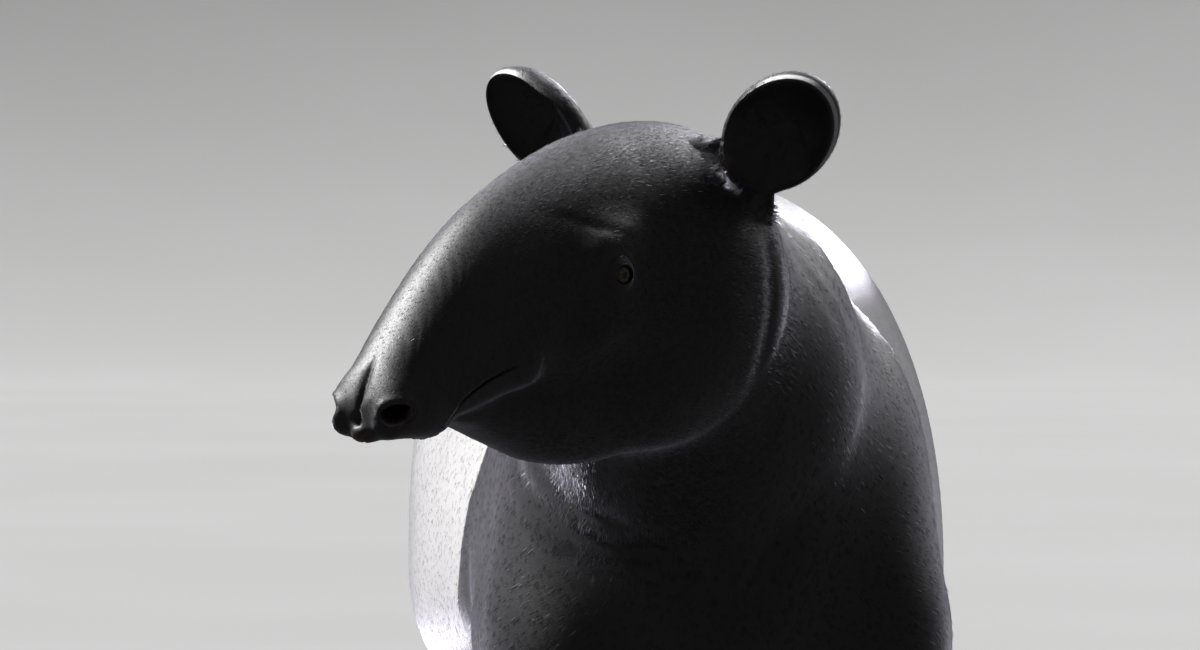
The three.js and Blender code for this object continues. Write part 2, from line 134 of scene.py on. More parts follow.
# Toes: name, turn from straight ahead towards the outside, reach, width, height, length of the hoof.
FORE_TOES = [
    ("inner", -30, 66, 19, 40, 30),
    ("middle", 0, 80, 21, 44, 32),
    ("outer", 30, 66, 19, 40, 30),
    ("side", 82, 50, 14, 28, 22),
]
HIND_TOES = [
    ("inner", -32, 66, 19, 40, 30),
    ("middle", 0, 80, 21, 44, 32),
    ("outer", 32, 66, 19, 40, 30),
]
LEGS = [
    ("fore_leg_left", 1, fore_joints(-26), FORE_TOES),
    ("fore_leg_right", -1, fore_joints(24), FORE_TOES),
    ("hind_leg_left", 1, hind_joints(34), HIND_TOES),
    ("hind_leg_right", -1, hind_joints(-30), HIND_TOES),
]


# Fields: each gives about how far points are outside a surface, in millimetres, negative inside.
def sectioned(stations, ends):
    """A body drawn through its stations and rounded off at both ends."""
    table = np.array(stations, float)
    at = table[:, 0]
    rows = np.arange(len(at))
    before, after = np.maximum(rows - 1, 0), np.minimum(rows + 1, len(at) - 1)
    slopes = (table[after] - table[before]) / (at[after] - at[before])[:, None]
    first, first_round, last, last_round = ends

    def field(side, along, up):
        s = np.clip(along, at[0], at[-1])
        i = np.clip(np.searchsorted(at, s) - 1, 0, len(at) - 2)
        span = at[i + 1] - at[i]
        t = (s - at[i]) / span
        rise, start, end = t * t * (3 - 2 * t), t * (1 - t) ** 2 * span, t * t * (1 - t) * span
        top, low, half, mid, square = (
            table[i, k] + (table[i + 1, k] - table[i, k]) * rise
            + slopes[i, k] * start - slopes[i + 1, k] * end
            for k in range(1, 6)
        )
        past_first = (first + first_round - along) / first_round
        past = np.maximum(past_first, (along - last + last_round) / last_round)
        share = np.sqrt(np.maximum(1 - np.maximum(past, 0) ** 2, 1e-6))
        height = up - mid
        reach = np.where(height > 0, top - mid, mid - low) * share
        across, high = np.abs(side) / (half * share), np.abs(height) / reach
        ratio = (across**square + high**square) ** (1 / square)
        distance = np.hypot(side, height) * (1 - 1 / np.maximum(ratio, 1e-6))
        distance = np.where(ratio < 1e-6, -reach, distance)
        beyond = np.maximum(np.maximum(along - last, first - along), 0)
        return np.where(beyond > 0, np.hypot(np.maximum(distance, 0), beyond), distance)

    return field


def egg(centre, radii, pitch=0.0):
    """An ellipsoid whose +Y end is raised by some degrees."""
    c, s = math.cos(math.radians(pitch)), math.sin(math.radians(pitch))
    rx, ry, rz = radii

    def field(x, y, z):
        px = x - centre[0]
        py = (y - centre[1]) * c + (z - centre[2]) * s
        pz = (z - centre[2]) * c - (y - centre[1]) * s
        near = np.sqrt((px / rx) ** 2 + (py / ry) ** 2 + (pz / rz) ** 2)
        slope = np.sqrt((px / rx**2) ** 2 + (py / ry**2) ** 2 + (pz / rz**2) ** 2)
        return np.where(slope < 1e-9, -min(radii), near * (near - 1) / np.maximum(slope, 1e-9))

    return field


def limb(a, b, from_radius, to_radius, narrow=1.0):
    """A round bar from a to b whose radius changes evenly; below 1, narrow flattens it from the sides."""
    a, b = np.array(a, float), np.array(b, float)
    axis = b - a
    long = axis @ axis

    def field(x, y, z):
        px, py, pz = x - a[0], y - a[1], z - a[2]
        t = np.clip((px * axis[0] + py * axis[1] + pz * axis[2]) / long, 0, 1)
        gap = ((px - axis[0] * t) / narrow) ** 2 + (py - axis[1] * t) ** 2 + (pz - axis[2] * t) ** 2
        return np.sqrt(gap) - from_radius - (to_radius - from_radius) * t

    return field


def limbs(joints, narrow=1.0):
    return [limb(a, b, ra, rb, narrow) for (a, ra), (b, rb) in zip(joints, joints[1:])]


def smooth(value, low, high):
    """A smooth step from 0 at low to 1 at high."""
    t = np.clip((value - low) / (high - low), 0, 1)
    return t * t * (3 - 2 * t)


def paired(field):
    return lambda x, y, z: field(np.abs(x), y, z)


def joined(soft, d, other):
    """Two distances joined, with a fillet that is soft millimetres wide."""
    h = np.maximum(soft - np.abs(d - other), 0) / soft
    return np.minimum(d, other) - h * h * soft / 4


def carved(soft, d, hollow):
    return -joined(soft, -d, hollow)


def blended(soft, fields):
    def field(x, y, z):
        d = fields[0](x, y, z)
        for other in fields[1:]:
            d = joined(soft, d, other(x, y, z))
        return d

    return field


def unit(ways):
    return ways / np.maximum(np.linalg.norm(ways, axis=-1, keepdims=True), 1e-9)


# The head's frame.
FORWARD = np.array([-math.sin(HEAD_YAW), -math.cos(HEAD_YAW), 0.0])
LEVEL_LEFT = np.array([math.cos(HEAD_YAW), -math.sin(HEAD_YAW), 0.0])
LEFT = LEVEL_LEFT * math.cos(HEAD_ROLL) - np.cross(FORWARD, LEVEL_LEFT) * math.sin(HEAD_ROLL)
UP = np.cross(FORWARD, LEFT)


def measured(p, ways):
    """How far places lie along each of some ways."""
    return tuple(p[0] * w[0] + p[1] * w[1] + p[2] * w[2] for w in ways)


def on_head(forward, left, up):
    return HEAD_AT + forward * FORWARD + left * LEFT + up * UP


def head_parts(x, y, z):
    return measured((x - HEAD_AT[0], y - HEAD_AT[1], z - HEAD_AT[2]), (FORWARD, LEFT, UP))


head_masses = blended(36, [
    blended(22, [
        blended(12, [sectioned(SKULL, SKULL_ENDS), sectioned(JAW, JAW_ENDS)]),
        paired(egg((54, -92, -68), (50, 76, 76))),
        paired(limb((70, 14, -36), (84, -110, -30), 20, 26)),
        paired(egg((60, 0, 30), (26, 42, 17), -20)),
        paired(egg((21, 226, -108), (17, 28, 20), -30)),
        egg((0, 170, -118), (25, 25, 13)),
    ]),
    paired(limb((27, 188, -106), (50, 88, -74), 10, 11)),
])


def local(field, low, high, far=400.0):
    """The field inside a box, and a large distance elsewhere, which saves most of the work."""

    def made(x, y, z):
        inside = (x > low[0]) & (x < high[0]) & (y > low[1]) & (y < high[1]) & (z > low[2]) & (z < high[2])
        d = np.full(np.shape(x), far)
        d[inside] = field(x[inside], y[inside], z[inside])
        return d

    return made


def head_field(x, y, z):
    forward, left, up = head_parts(x, y, z)
    return local(head_masses, (-230, -360, -280), (230, 360, 260))(left, forward, up)


neck_masses = blended(40, limbs([((0, -380, 745), 205), ((-22, -540, 822), 174), (POLL, 138)], 0.82))
neck_field = local(neck_masses, (-360, -980, 400), (330, -40, 1160))
trunk_masses = blended(70, [
    sectioned(TRUNK, TRUNK_ENDS),
    local(paired(egg((136, -385, 618), (70, 140, 212), -8)), (-330, -650, 290), (330, -100, 950)),
    local(paired(egg((132, -450, 560), (72, 100, 100))), (-330, -650, 340), (330, -230, 780)),
    local(paired(egg((146, 470, 600), (96, 190, 210), 20)), (-370, 160, 270), (370, 790, 930)),
    local(paired(egg((150, 350, 530), (76, 100, 95))), (-350, 130, 310), (350, 570, 750)),
])
trunk_field = local(trunk_masses, (-420, -760, 290), (420, 850, 1160))
flesh_field = blended(46, [blended(90, [trunk_field, neck_field]), head_field])


def ear_frame(side):
    """The root of an ear, and the ways across it, out of its cup and along it."""
    flip = np.array([1, side, 1])
    along = unit(np.array([0.12, EAR_LEAN[side], 1.0]) * flip)
    facing = np.array([0.89, 0.26, -0.37]) * flip
    facing = unit(facing - along * (facing @ along))
    across = np.cross(facing, along)
    root = np.array(EAR_ROOT) * flip
    turn = np.array([FORWARD, LEFT, UP]).T
    return on_head(*root), turn @ across, turn @ facing, turn @ along


def ear_parts(side, x, y, z):
    root, *ways = ear_frame(side)
    return measured((x - root[0], y - root[1], z - root[2]), ways)


EAR_SHELL = egg((0, 0, EAR_LENGTH * 0.55), (EAR_WIDTH / 2, 32, EAR_LENGTH / 2))
EAR_STEM = egg((0, -4, 20), (30, 28, 52))
CUP_AT = np.array([0, 19, EAR_LENGTH * 0.565])
CUP_RADII = np.array([EAR_WIDTH / 2 - 3.2, 41, EAR_LENGTH / 2 - 5])
EAR_CUP = egg(CUP_AT, CUP_RADII)


def whole_ear(across, facing, along):
    return joined(10, EAR_SHELL(across, facing, along), EAR_STEM(across, facing, along)) + EAR_INSET


def ear_shape(across, facing, along):
    return carved(3, whole_ear(across, facing, along), EAR_CUP(across, facing, along))


EAR_INSET = 1.6
local_ear = local(ear_shape, (-110, -100, -90), (110, 100, 190))


def ear_field(side, x, y, z):
    return local_ear(*ear_parts(side, x, y, z))


def ear_distance(x, y, z):
    return np.minimum(ear_field(1, x, y, z), ear_field(-1, x, y, z))


def ear_edge(parts):
    """Zero at the ear's rim, more than zero outside it and less than zero in the cup."""
    return EAR_SHELL(*parts) + EAR_INSET + EAR_CUP(*parts)


def foot_place(joints, side):
    return np.array(joints[-1][0], float) * (side, 1, 1)


def toe_places(joints, toes, side):
    """For each toe: the middle of the foot, the way the toe points, and its reach and sizes."""
    for _, turn, *sizes in toes:
        way = math.radians(turn) * side
        yield foot_place(joints, side), np.array([math.sin(way), -math.cos(way), 0.0]), *sizes


# Hooves: the level of their middles, how far the horn lies inside the drawn size, the step of its net, its
# lowest level, and how far the toe's flesh stands out over the horn.
HOOF_LEVEL = 4
HORN_GAP = 0.2
HORN_STEP = 2.2
HORN_LOWEST = 0.15
TOE_OVER_HORN = 2.6


def toe_top(foot, ahead, reach, wide, high, long, grow=TOE_OVER_HORN):
    """The rounded end of a toe."""
    centre = foot + ahead * reach
    shape = egg((0, 0, 0), (wide + grow, long + grow, high + grow))

    def field(x, y, z):
        px, py = x - centre[0], y - centre[1]
        return shape(py * ahead[0] - px * ahead[1], px * ahead[0] + py * ahead[1], z - HOOF_LEVEL)

    return field


def hoof_field(foot, ahead, reach, wide, high, long, grow):
    """The horn of a toe: its rounded end, cut off behind and above the cuticle."""
    centre = foot + ahead * reach
    shape = toe_top(foot, ahead, reach, wide, high, long, grow)
    back = unit(ahead + (0, 0, 0.5))
    behind = back @ (foot * (1, 1, 0)) + reach * 0.9 - grow
    cuticle = HOOF_LEVEL + high * 0.64 + (-2.2 if grow > 0 else 0)

    def field(x, y, z):
        ahead_by = (x - centre[0]) * ahead[0] + (y - centre[1]) * ahead[1]
        body = np.maximum(shape(x, y, z), behind - (x * back[0] + y * back[1] + z * back[2]))
        return np.maximum(body, z - cuticle + 0.22 * ahead_by)

    return field


def leg_field(joints, toes, side):
    mirrored = [(np.array(at, float) * (side, 1, 1), radius) for at, radius in joints]
    places = list(toe_places(joints, toes, side))
    fleshy = [
        limb((foot[0], foot[1], 48), (*(foot + ahead * (reach - 12))[:2], high * 0.55), 34, wide)
        for foot, ahead, reach, wide, high, _ in places
    ]
    leg = blended(14, [blended(9, limbs(mirrored)), *fleshy])
    return blended(5, [leg, *(toe_top(*place) for place in places)])


tail_field = local(blended(20, limbs(TAIL)), (-110, 540, 600), (110, 800, 930))
COAT_DEPTH = 3.0


def shod_leg(joints, toes, side):
    """A leg with the room that its hooves take cut out of it."""
    leg, foot = leg_field(joints, toes, side), foot_place(joints, side)
    low, top = foot - (130, 130, 80), foot + (130, 130, 30)
    room = 0.5 + COAT_DEPTH / 2
    hooves = [local(hoof_field(*place, room), low, top) for place in toe_places(joints, toes, side)]

    def field(x, y, z):
        return np.maximum.reduce([leg(x, y, z), *(-hoof(x, y, z) for hoof in hooves)])

    return local(field, foot - (200, 200, 120), foot + (200, 260, 720))


LEG_FIELDS = [shod_leg(joints, toes, side) for _, side, joints, toes in LEGS]

# Features of the head that only the skin has.
MOUTH_CORNER = (85, -68)
MOUTH_FRONT = (184, -113)
CHIN = -150


def turned(field, centre, about_side, about_up):
    """A field moved to a centre and turned by two angles in radians."""
    cy, sy, cz, sz = math.cos(about_side), math.sin(about_side), math.cos(about_up), math.sin(about_up)
    turn = np.array([[cy, 0, sy], [0, 1, 0], [-sy, 0, cy]])
    turn = turn @ np.array([[cz, -sz, 0], [sz, cz, 0], [0, 0, 1]])

    def made(forward, left, up):
        return field(*measured((forward - centre[0], left - centre[1], up - centre[2]), turn.T))

    return made


LID = egg((EYE_AT[1] - 0.4, EYE_AT[0], EYE_AT[2]), (17.2, 18.6, 16.4))
NOSTRIL = turned(egg((0, 0, 0), (25, 13.5, 9)), (232, 28, -108), 0.2, 0.62)
NOSTRIL_PASSAGE = turned(egg((0, 0, 0), (34, 9.5, 7.5)), (214, 19, -102), 0.4, 0.35)
SNOUT_TIP = egg((0, 235, -124), (13, 13, 10))
LOBE_UNDERSIDE = paired(egg((18, 204, -114), (19, 34, 14)))


def mouth_level(forward):
    share = np.clip((forward - MOUTH_CORNER[0]) / (MOUTH_FRONT[0] - MOUTH_CORNER[0]), 0, 1)
    level = MOUTH_CORNER[1] + (MOUTH_FRONT[1] - MOUTH_CORNER[1]) * share**1.8
    return level - 0.13 * np.maximum(forward - 164, 0) ** 2


def open_head(d, x, y, z):
    """The skin's field with the lobes and the openings of the snout."""
    forward, left, up = head_parts(x, y, z)
    side = np.abs(left)
    d = joined(12, d, LOBE_UNDERSIDE(left, forward, up))
    d = d + 5.0 * np.exp(-((left / 4.5) ** 2)) * smooth(forward, 224, 242) * smooth(up, -128, -112)
    d = joined(7, d, SNOUT_TIP(left, forward, up))
    d = d + 5 * np.exp(-(((forward - 146) / 17) ** 2)) * smooth(-up, 104, 116)
    d = carved(4, d, NOSTRIL(forward, side, up))
    return carved(3, d, NOSTRIL_PASSAGE(forward, side, up))


def ridge(value, middle, width):
    return np.exp(-(((value - middle) / width) ** 2))


def ridges(value, *table):
    """Ridges and furrows side by side: the depth, place and width of each."""
    return sum(deep * ridge(value, middle, width) for deep, middle, width in table)


def between(value, rise, fall):
    return smooth(value, *rise) * (1 - smooth(value, *fall))


# Folds of the trunk: depth, place along the body, lean, level of that place, width, heights where each
# begins and ends. They are the elbow, the flank and the seat of the shoulder.
TRUNK_FOLDS = [
    (5.0, -268, 0.22, 470, 15, (430, 470), (560, 680)),
    (4.5, 276, 0.42, 480, 18, (440, 490), (600, 720)),
    (3.0, -455, 0.42, 560, 24, (560, 640), (800, 880)),
]
LEG_BENDS = [(1.6, 272, 4.5), (1.2, 252, 4.5), (1.4, 92, 3.5), (1.0, 78, 3.2)]
SNOUT_RING = 8.5


def crease_depth(p):
    """How far folds, wrinkles and the line of the mouth lie below the smooth form, in millimetres."""
    x, y, z = p.T
    forward, left, up = head_parts(x, y, z)
    side = np.abs(left)
    on_skull = (head_field(x, y, z) < 6) & (ear_distance(x, y, z) > 2)
    depth = np.zeros(len(p))
    # the mouth, its lips and the fold behind its corner
    gap = up - mouth_level(forward)
    open_part = smooth(forward, MOUTH_CORNER[0] + 2, MOUTH_CORNER[0] + 48) * (up > CHIN) * (forward < 196)
    mouth = ridges(gap, (4.4, 0, 1.0), (-0.9, 4.2, 2.6), (-0.6, -3.6, 2.4))
    corner = np.hypot(forward - MOUTH_CORNER[0] - 2, up - MOUTH_CORNER[1] - 2)
    fold = ridge(corner, 16, 4.5) * smooth(MOUTH_CORNER[0] + 4 - forward, 0, 14)
    depth += on_skull * (mouth * open_part * smooth(side, 3, 9) + fold * (side > 15))
    # the snout: the cleft between its lobes, rims over the nostrils, rings across the trunk
    lobes = smooth(forward, 208, 226) * (up > -138)
    cleft = 2.2 * ridge(left, 0, 1.7) * smooth(forward, 220, 236)
    wing = 1.3 * ridge(NOSTRIL(forward, side, up), 4.0, 2.2) * smooth(up, -118, -104)
    depth += on_skull * lobes * (cleft - wing)
    rings = np.sin((forward + 0.32 * up + 5 * np.sin(side / 9)) * 2 * math.pi / SNOUT_RING)
    rings = rings * (0.6 + 0.4 * np.sin(up / 7 + forward / 23)) * smooth(side, 8, 22)
    depth += on_skull * 0.42 * rings * between(forward, (120, 160), (205, 222))
    # folds round the eye, below the brow and under the ear
    away = np.hypot(forward - EYE_AT[0], up - EYE_AT[2])
    below = smooth(EYE_AT[2] + 4 - up, 0, 16) * (away > EYE_PATCH + 1)
    depth += on_skull * (side > 40) * below * ridges(away, (1.2, 31, 2.6), (0.8, 39, 3.2))
    brow = up - 44 - 0.25 * (forward - 10)
    depth += on_skull * (side > 35) * 1.4 * ridge(brow, 0, 5) * ridge(forward, 6, 38)
    # the jowl's rear edge, and folds of the throat where the head turns
    jowl = forward + 176 - 0.12 * up + 8 * np.sin(up / 60)
    depth += 3.4 * ridge(jowl, 0, 12) * between(up, (-130, -60), (0, 70)) * (side > 50)
    around = np.arctan2(-(z - 783), -(x + 78))
    reach = np.hypot(x + 78, z - 783) - 5 * np.sin(around * 3)
    off_head = head_field(x, y, z) > 1
    throat = ridges(reach, (1.9, 92, 5.0), (-1.0, 102, 5), (1.8, 113, 5.5), (-1.0, 125, 6))
    throat += 1.6 * ridge(reach, 137, 6) * (1 - smooth(around, 0.9, 1.4))
    depth += throat * between(around, (-0.05, 0.35), (1.5, 2.0)) * (y < -470) * off_head
    neck = y + 560 + 0.9 * (z - 880) + 0.35 * np.abs(x)
    depth += 2.2 * ridges(neck, (1.0, 0, 9), (0.8, -46, 9)) * (z > 840) * (z < 1000) * off_head
    for deep, at, lean, level, width, rise, fall in TRUNK_FOLDS:
        fold = deep * ridge(y - at - lean * (z - level), 0, width) * between(z, rise, fall)
        depth += fold * smooth(np.abs(x), 110, 160)
    uneven = 0.7 + 0.3 * np.sin(np.arctan2(x, y) * 9 + z / 5)
    return depth + ridges(z, *LEG_BENDS) * (z < 300) * uneven


def skin_field(x, y, z):
    d = joined(24, flesh_field(x, y, z), tail_field(x, y, z))
    for leg in LEG_FIELDS:
        d = joined(48, d, leg(x, y, z))
    low = np.clip((z - 30) / 120, 0, 1)
    d = np.maximum(d + 1 + (COAT_DEPTH - 1) * low, 0.4 - z)
    for side in (1, -1):
        d = joined(16, d, ear_field(side, x, y, z))
    near_head = (d < 60) & (z > 700) & (y < -640)
    d[near_head] = open_head(d[near_head], x[near_head], y[near_head], z[near_head])
    return d


def settle(field, p, rounds=2, most=3.0, held=None, step=0.5):
    """Moves points onto the surface, each along the field's slope. A held direction isn't moved in."""
    for _ in range(rounds):
        d = field(*p.T)
        slope = np.stack([(field(*(p + way * step).T) - d) / step for way in np.eye(3)], 1)
        if held is not None:
            slope -= np.outer(slope @ held, held)
        size = np.maximum((slope**2).sum(1), 0.15)
        shift = -(d / size)[:, None] * slope
        length = np.linalg.norm(shift, axis=1, keepdims=True)
        p = p + shift * np.minimum(1, most / np.maximum(length, 1e-9))
    return p


def graded(*runs):
    points = [np.linspace(a, b, max(round((b - a) / step), 1), endpoint=False) for a, b, step in runs]
    return np.concatenate([*points, [runs[-1][1]]])


def to_body(f, l, z, lean=0.0):
    """Grid places as points; with a lean, the grid's upright planes lean back with the neck."""
    f = f - lean * (z - HEAD_AT[2])
    return (*(HEAD_AT[k] + f * FORWARD[k] + l * LEVEL_LEFT[k] for k in range(2)), z + 0 * f)


def values_near_surface(field, axes, lean, stride=4):
    """The field on the grid, worked out only in blocks near its surface."""
    coarse = [np.unique(np.r_[np.arange(0, len(a) - 1, stride), len(a) - 1]) for a in axes]
    corners = np.meshgrid(*[a[c] for a, c in zip(axes, coarse)], indexing="ij")
    rough = field(*to_body(*[c.ravel() for c in corners], lean)).reshape(corners[0].shape)
    widths = np.meshgrid(*[np.diff(a[c]) for a, c in zip(axes, coarse)], indexing="ij")
    reach = np.sqrt(sum(w**2 for w in widths))
    smallest = np.full(reach.shape, np.inf)
    nx, ny, nz = reach.shape
    for i, j, k in np.ndindex(2, 2, 2):
        smallest = np.minimum(smallest, np.abs(rough[i : i + nx, j : j + ny, k : k + nz]))
    near = np.pad(smallest < reach + 3, 1)
    near = near | np.roll(near, 1, 0)
    near = near | np.roll(near, 1, 1)
    near = (near | np.roll(near, 1, 2))[1:, 1:, 1:]
    value = rough.astype(np.float32)
    for axis, c in enumerate(coarse):
        steps = np.r_[np.diff(c), 1]
        value, near = np.repeat(value, steps, axis), np.repeat(near, steps, axis)
    index = np.nonzero(near)
    value[index] = field(*to_body(*[a[i] for a, i in zip(axes, index)], lean))
    return value


def surface_net(axes, value):
    """Corners and four-sided faces of the surface where the value passes through zero."""
    inside = value < 0
    shape = np.array(value.shape)
    cells, places, quads = [], [], []
    for axis in range(3):
        lower, upper = [slice(None)] * 3, [slice(None)] * 3
        lower[axis], upper[axis] = slice(None, -1), slice(1, None)
        lower, upper = tuple(lower), tuple(upper)
        edges = np.stack(np.nonzero(inside[lower] != inside[upper]), 1)
        leaving = inside[lower][tuple(edges.T)]
        va, vb = value[lower][tuple(edges.T)], value[upper][tuple(edges.T)]
        point = np.stack([axes[k][edges[:, k]] for k in range(3)], 1)
        gap = axes[axis][edges[:, axis] + 1] - axes[axis][edges[:, axis]]
        point[:, axis] += gap * va / (va - vb)
        around, whole = [], np.ones(len(edges), bool)
        for shift in ((-1, -1), (0, -1), (0, 0), (-1, 0)):
            cell = edges.copy()
            cell[:, (axis + 1) % 3] += shift[0]
            cell[:, (axis + 2) % 3] += shift[1]
            real = ((cell >= 0) & (cell < shape - 1)).all(1)
            whole &= real
            number = np.where(real, np.ravel_multi_index(np.clip(cell, 0, shape - 1).T, shape), -1)
            around.append(number)
            cells.append(number[real])
            places.append(point[real])
        quad = np.stack(around, 1)
        quads.append(np.where(leaving[:, None], quad, quad[:, ::-1])[whole])
    cells, places = np.concatenate(cells), np.concatenate(places)
    names, where = np.unique(cells, return_inverse=True)
    count = np.bincount(where)
    corners = np.stack([np.bincount(where, places[:, k]) / count for k in range(3)], 1)
    faces = np.searchsorted(names, np.concatenate(quads))
    used = np.unique(faces)
    return corners[used], np.searchsorted(used, faces)


def border_edges(faces):
    """Directed edges that only one face has, as pairs of corners."""
    edges = np.concatenate([faces[:, [k, (k + 1) % 4]] for k in range(4)])
    names = edges.min(1) * (faces.max() + 1) + edges.max(1)
    _, where, count = np.unique(names, return_inverse=True, return_counts=True)
    return edges[count[where] == 1]


# The skin is netted in lots: a fine one for the head, four for the feet, and a plainer one between.
NECK_CUT = -250.0
NECK_LEAN = 0.36
FOOT_CUT = 122.0
HEAD_GRID = (
    graded((NECK_CUT, -28, 5.2), (-28, 30, 3.4), (30, 200, 3.7), (200, 258, 2.7)),
    graded((-260, -94, 5.4), (-94, 94, 3.8), (94, 260, 5.2)),
    graded((600, 745, 6.5), (745, 785, 4.0), (785, 860, 3.2), (860, 950, 3.9), (950, 1112, 4.4)),
)
BODY_GRID = (
    graded((-1800, NECK_CUT, 12.5)),
    graded((-1090, 350, 12.5)),
    graded((FOOT_CUT, 1030, 12.5)),
)


def foot_grid(joints, side, step=5.2, upright=(-3, FOOT_CUT, 4.8)):
    foot = foot_place(joints, side) - HEAD_AT
    f, l = foot @ FORWARD, foot @ LEVEL_LEFT
    return (graded((f - 125, f + 125, step)), graded((l - 125, l + 125, step)), graded(upright))


def netted(axes, lean=0.0):
    corners, faces = surface_net(axes, values_near_surface(skin_field, axes, lean))
    return np.stack(to_body(*corners.T, lean), 1), faces


def plane_ways(normal):
    """Two ways at right angles in the plane across a normal."""
    one = unit(np.cross(normal, (0.3, 0.5, 0.81)))
    return one, np.cross(normal, one)


def sewn(lot, border, patch, ring, normal):
    """Joins a finer patch, by its ring, to the open border of a plainer lot. A lot is its points, quads,
    other faces, and which points stay where they are."""
    p, quads, others, fixed = lot
    patch_p, patch_quads, patch_others, patch_fixed = patch
    middle, (one, two) = patch_p[ring].mean(0), plane_ways(normal)
    turn = [np.arctan2((q - middle) @ two, (q - middle) @ one) for q in (patch_p[ring], p[border])]
    order = ring[np.argsort(turn[0])] + len(p)
    count = len(order)
    place = dict(zip(border.tolist(), (np.searchsorted(np.sort(turn[0]), turn[1]) % count).tolist()))
    loose = {tuple(edge) for edge in np.sort(border_edges(quads), 1).tolist()}
    touched = np.isin(quads, border).any(1)
    made = []
    for face in quads[touched].tolist():
        corners = []
        for a, b in zip(face, face[1:] + face[:1]):
            if a not in place:
                corners.append(a)
                continue
            corners.append(int(order[place[a]]))
            if b in place and (min(a, b), max(a, b)) in loose:
                steps = (place[b] - place[a]) % count
                way, steps = (1, steps) if steps <= count // 2 else (-1, count - steps)
                corners += [int(order[(place[a] + way * k) % count]) for k in range(1, steps)]
        corners = [c for k, c in enumerate(corners) if c != corners[k - 1]]
        if len(set(corners)) > 2:
            made.append(corners)
    shifted = [[c + len(p) for c in face] for face in patch_others]
    return (
        np.concatenate([p, patch_p]), np.concatenate([quads[~touched], patch_quads + len(p)]),
        others + made + shifted, np.concatenate([fixed, patch_fixed]),
    )


# The lids: rings from the face inwards to the edge of the opening, then round it and behind the eyeball.
EYE_PATCH = 27.0
EYE_RINGS = (EYE_PATCH, 25.2, 23.6, 22.3, 21.2, 20.2, 19.3, 18.5, 17.8, 17.1, 16.4)
LID_WIDE = 12.6
LID_HIGH = 8.4
LID_POWER = 1.75
AROUND_EYE = 80


def eye_ways(side):
    """The middle of an eye, the way it looks, and the ways ahead and up across it."""
    gaze = unit(FORWARD * 0.16 + LEFT * side - UP * 0.02)
    ahead = unit(np.cross(UP, gaze) * side)
    return on_head(EYE_AT[0], EYE_AT[1] * side, EYE_AT[2]), gaze, ahead, np.cross(ahead, gaze) * -side


def lidded_field(x, y, z):
    forward, left, up = head_parts(x, y, z)
    return joined(8, skin_field(x, y, z), LID(np.abs(left), forward, up))


def eye_patch(side):
    """The lids of one eye as a lot."""
    centre, gaze, ahead, above = eye_ways(side)
    turn = np.linspace(0, 2 * np.pi, AROUND_EYE, endpoint=False) * side
    way = np.outer(np.cos(turn), ahead) + np.outer(np.sin(turn), above)
    upper = np.sin(turn)
    high = LID_HIGH * np.where(upper > 0, 1.06, 0.94)
    edge = (np.abs(np.cos(turn)) / LID_WIDE) ** LID_POWER + (np.abs(upper) / high) ** LID_POWER
    edge = edge ** (-1 / LID_POWER)
    rings = [centre + gaze * 12 + way * reach for reach in EYE_RINGS]
    for share in (0.2, 0.4, 0.6, 0.8, 0.93, 1.0):
        reach = EYE_RINGS[-1] + (edge + 0.7 - EYE_RINGS[-1]) * share
        rings.append(centre + gaze * 16 + way * reach[:, None])
    rings = [settle(lidded_field, ring, 6) for ring in rings]
    for k, ring in enumerate(rings[1:], 1):
        reach = np.linalg.norm((ring - centre) - np.outer((ring - centre) @ gaze, gaze), axis=1)
        crease = 1.5 * ridge(reach, 17.6, 1.0) * np.clip(upper + 0.25, 0, 1)
        crease -= 0.7 * ridge(reach, 20.2, 1.3)
        crease += 0.9 * ridge(reach, 18.4, 1.1) * np.clip(0.1 - upper, 0, 1)
        crease += 0.6 * ridge(reach, 22.4, 1.2) * np.clip(-upper, 0, 1)
        rings[k] = ring - unit(ring - centre - gaze * 2) * crease[:, None]
    ball = EYE_RADIUS + 0.25

    def on_ball(reach, radius):
        return centre + way * reach[:, None] + np.outer(np.sqrt(np.maximum(radius**2 - reach**2, 1)), gaze)

    rings.append(on_ball(edge + 0.15, ball + 1.3))
    rings.append(on_ball(edge, ball + 0.6))
    rings.append(on_ball(edge + 0.3, ball + 0.1))
    rings.append(on_ball(np.minimum(edge + 2.2, ball - 0.5), ball))
    rings.append(centre + way * ball)
    rings.append(centre + way * ball * 0.7 - gaze * ball * 0.71)
    return ringed(rings)


def refined(lot, near):
    """Splits in four each quad that near picks, and gives the faces beside it the new corners."""
    p, quads, others, fixed = lot
    picked = near(*p[quads].mean(1).T)
    ends = np.sort(np.stack([quads, np.roll(quads, -1, 1)], 2), 2)
    names = ends[..., 0] * len(p) + ends[..., 1]
    halved = np.unique(names[picked])
    middle = {name: len(p) + k for k, name in enumerate(halved.tolist())}
    at = len(p) + np.searchsorted(halved, names[picked])
    q, centre = quads[picked], len(p) + len(halved) + np.arange(picked.sum())
    parts = [np.stack([q[:, k], at[:, k], centre, at[:, k - 1]], 1) for k in range(4)]
    beside = ~picked & np.isin(names, halved).any(1)
    made = []
    for face in quads[beside].tolist() + others:
        corners = []
        for a, b in zip(face, face[1:] + face[:1]):
            corners.append(a)
            name = min(a, b) * len(p) + max(a, b)
            if name in middle:
                corners.append(middle[name])
        made.append(corners)
    halves = (p[halved // len(p)] + p[halved % len(p)]) / 2
    points = np.concatenate([p, halves, p[q].mean(1)])
    still = np.concatenate([fixed, np.zeros(len(points) - len(p), bool)])
    return points, np.concatenate([quads[~picked & ~beside], *parts]), made, still


# Where the net is made finer: the mouth, the nostrils, the cleft of the snout, the tail and the legs.
def by_mouth(forward, up, reach, behind):
    near = np.abs(up - mouth_level(forward)) < reach
    return near & (forward > MOUTH_CORNER[0] - behind) & (forward < 190) & (up > CHIN)


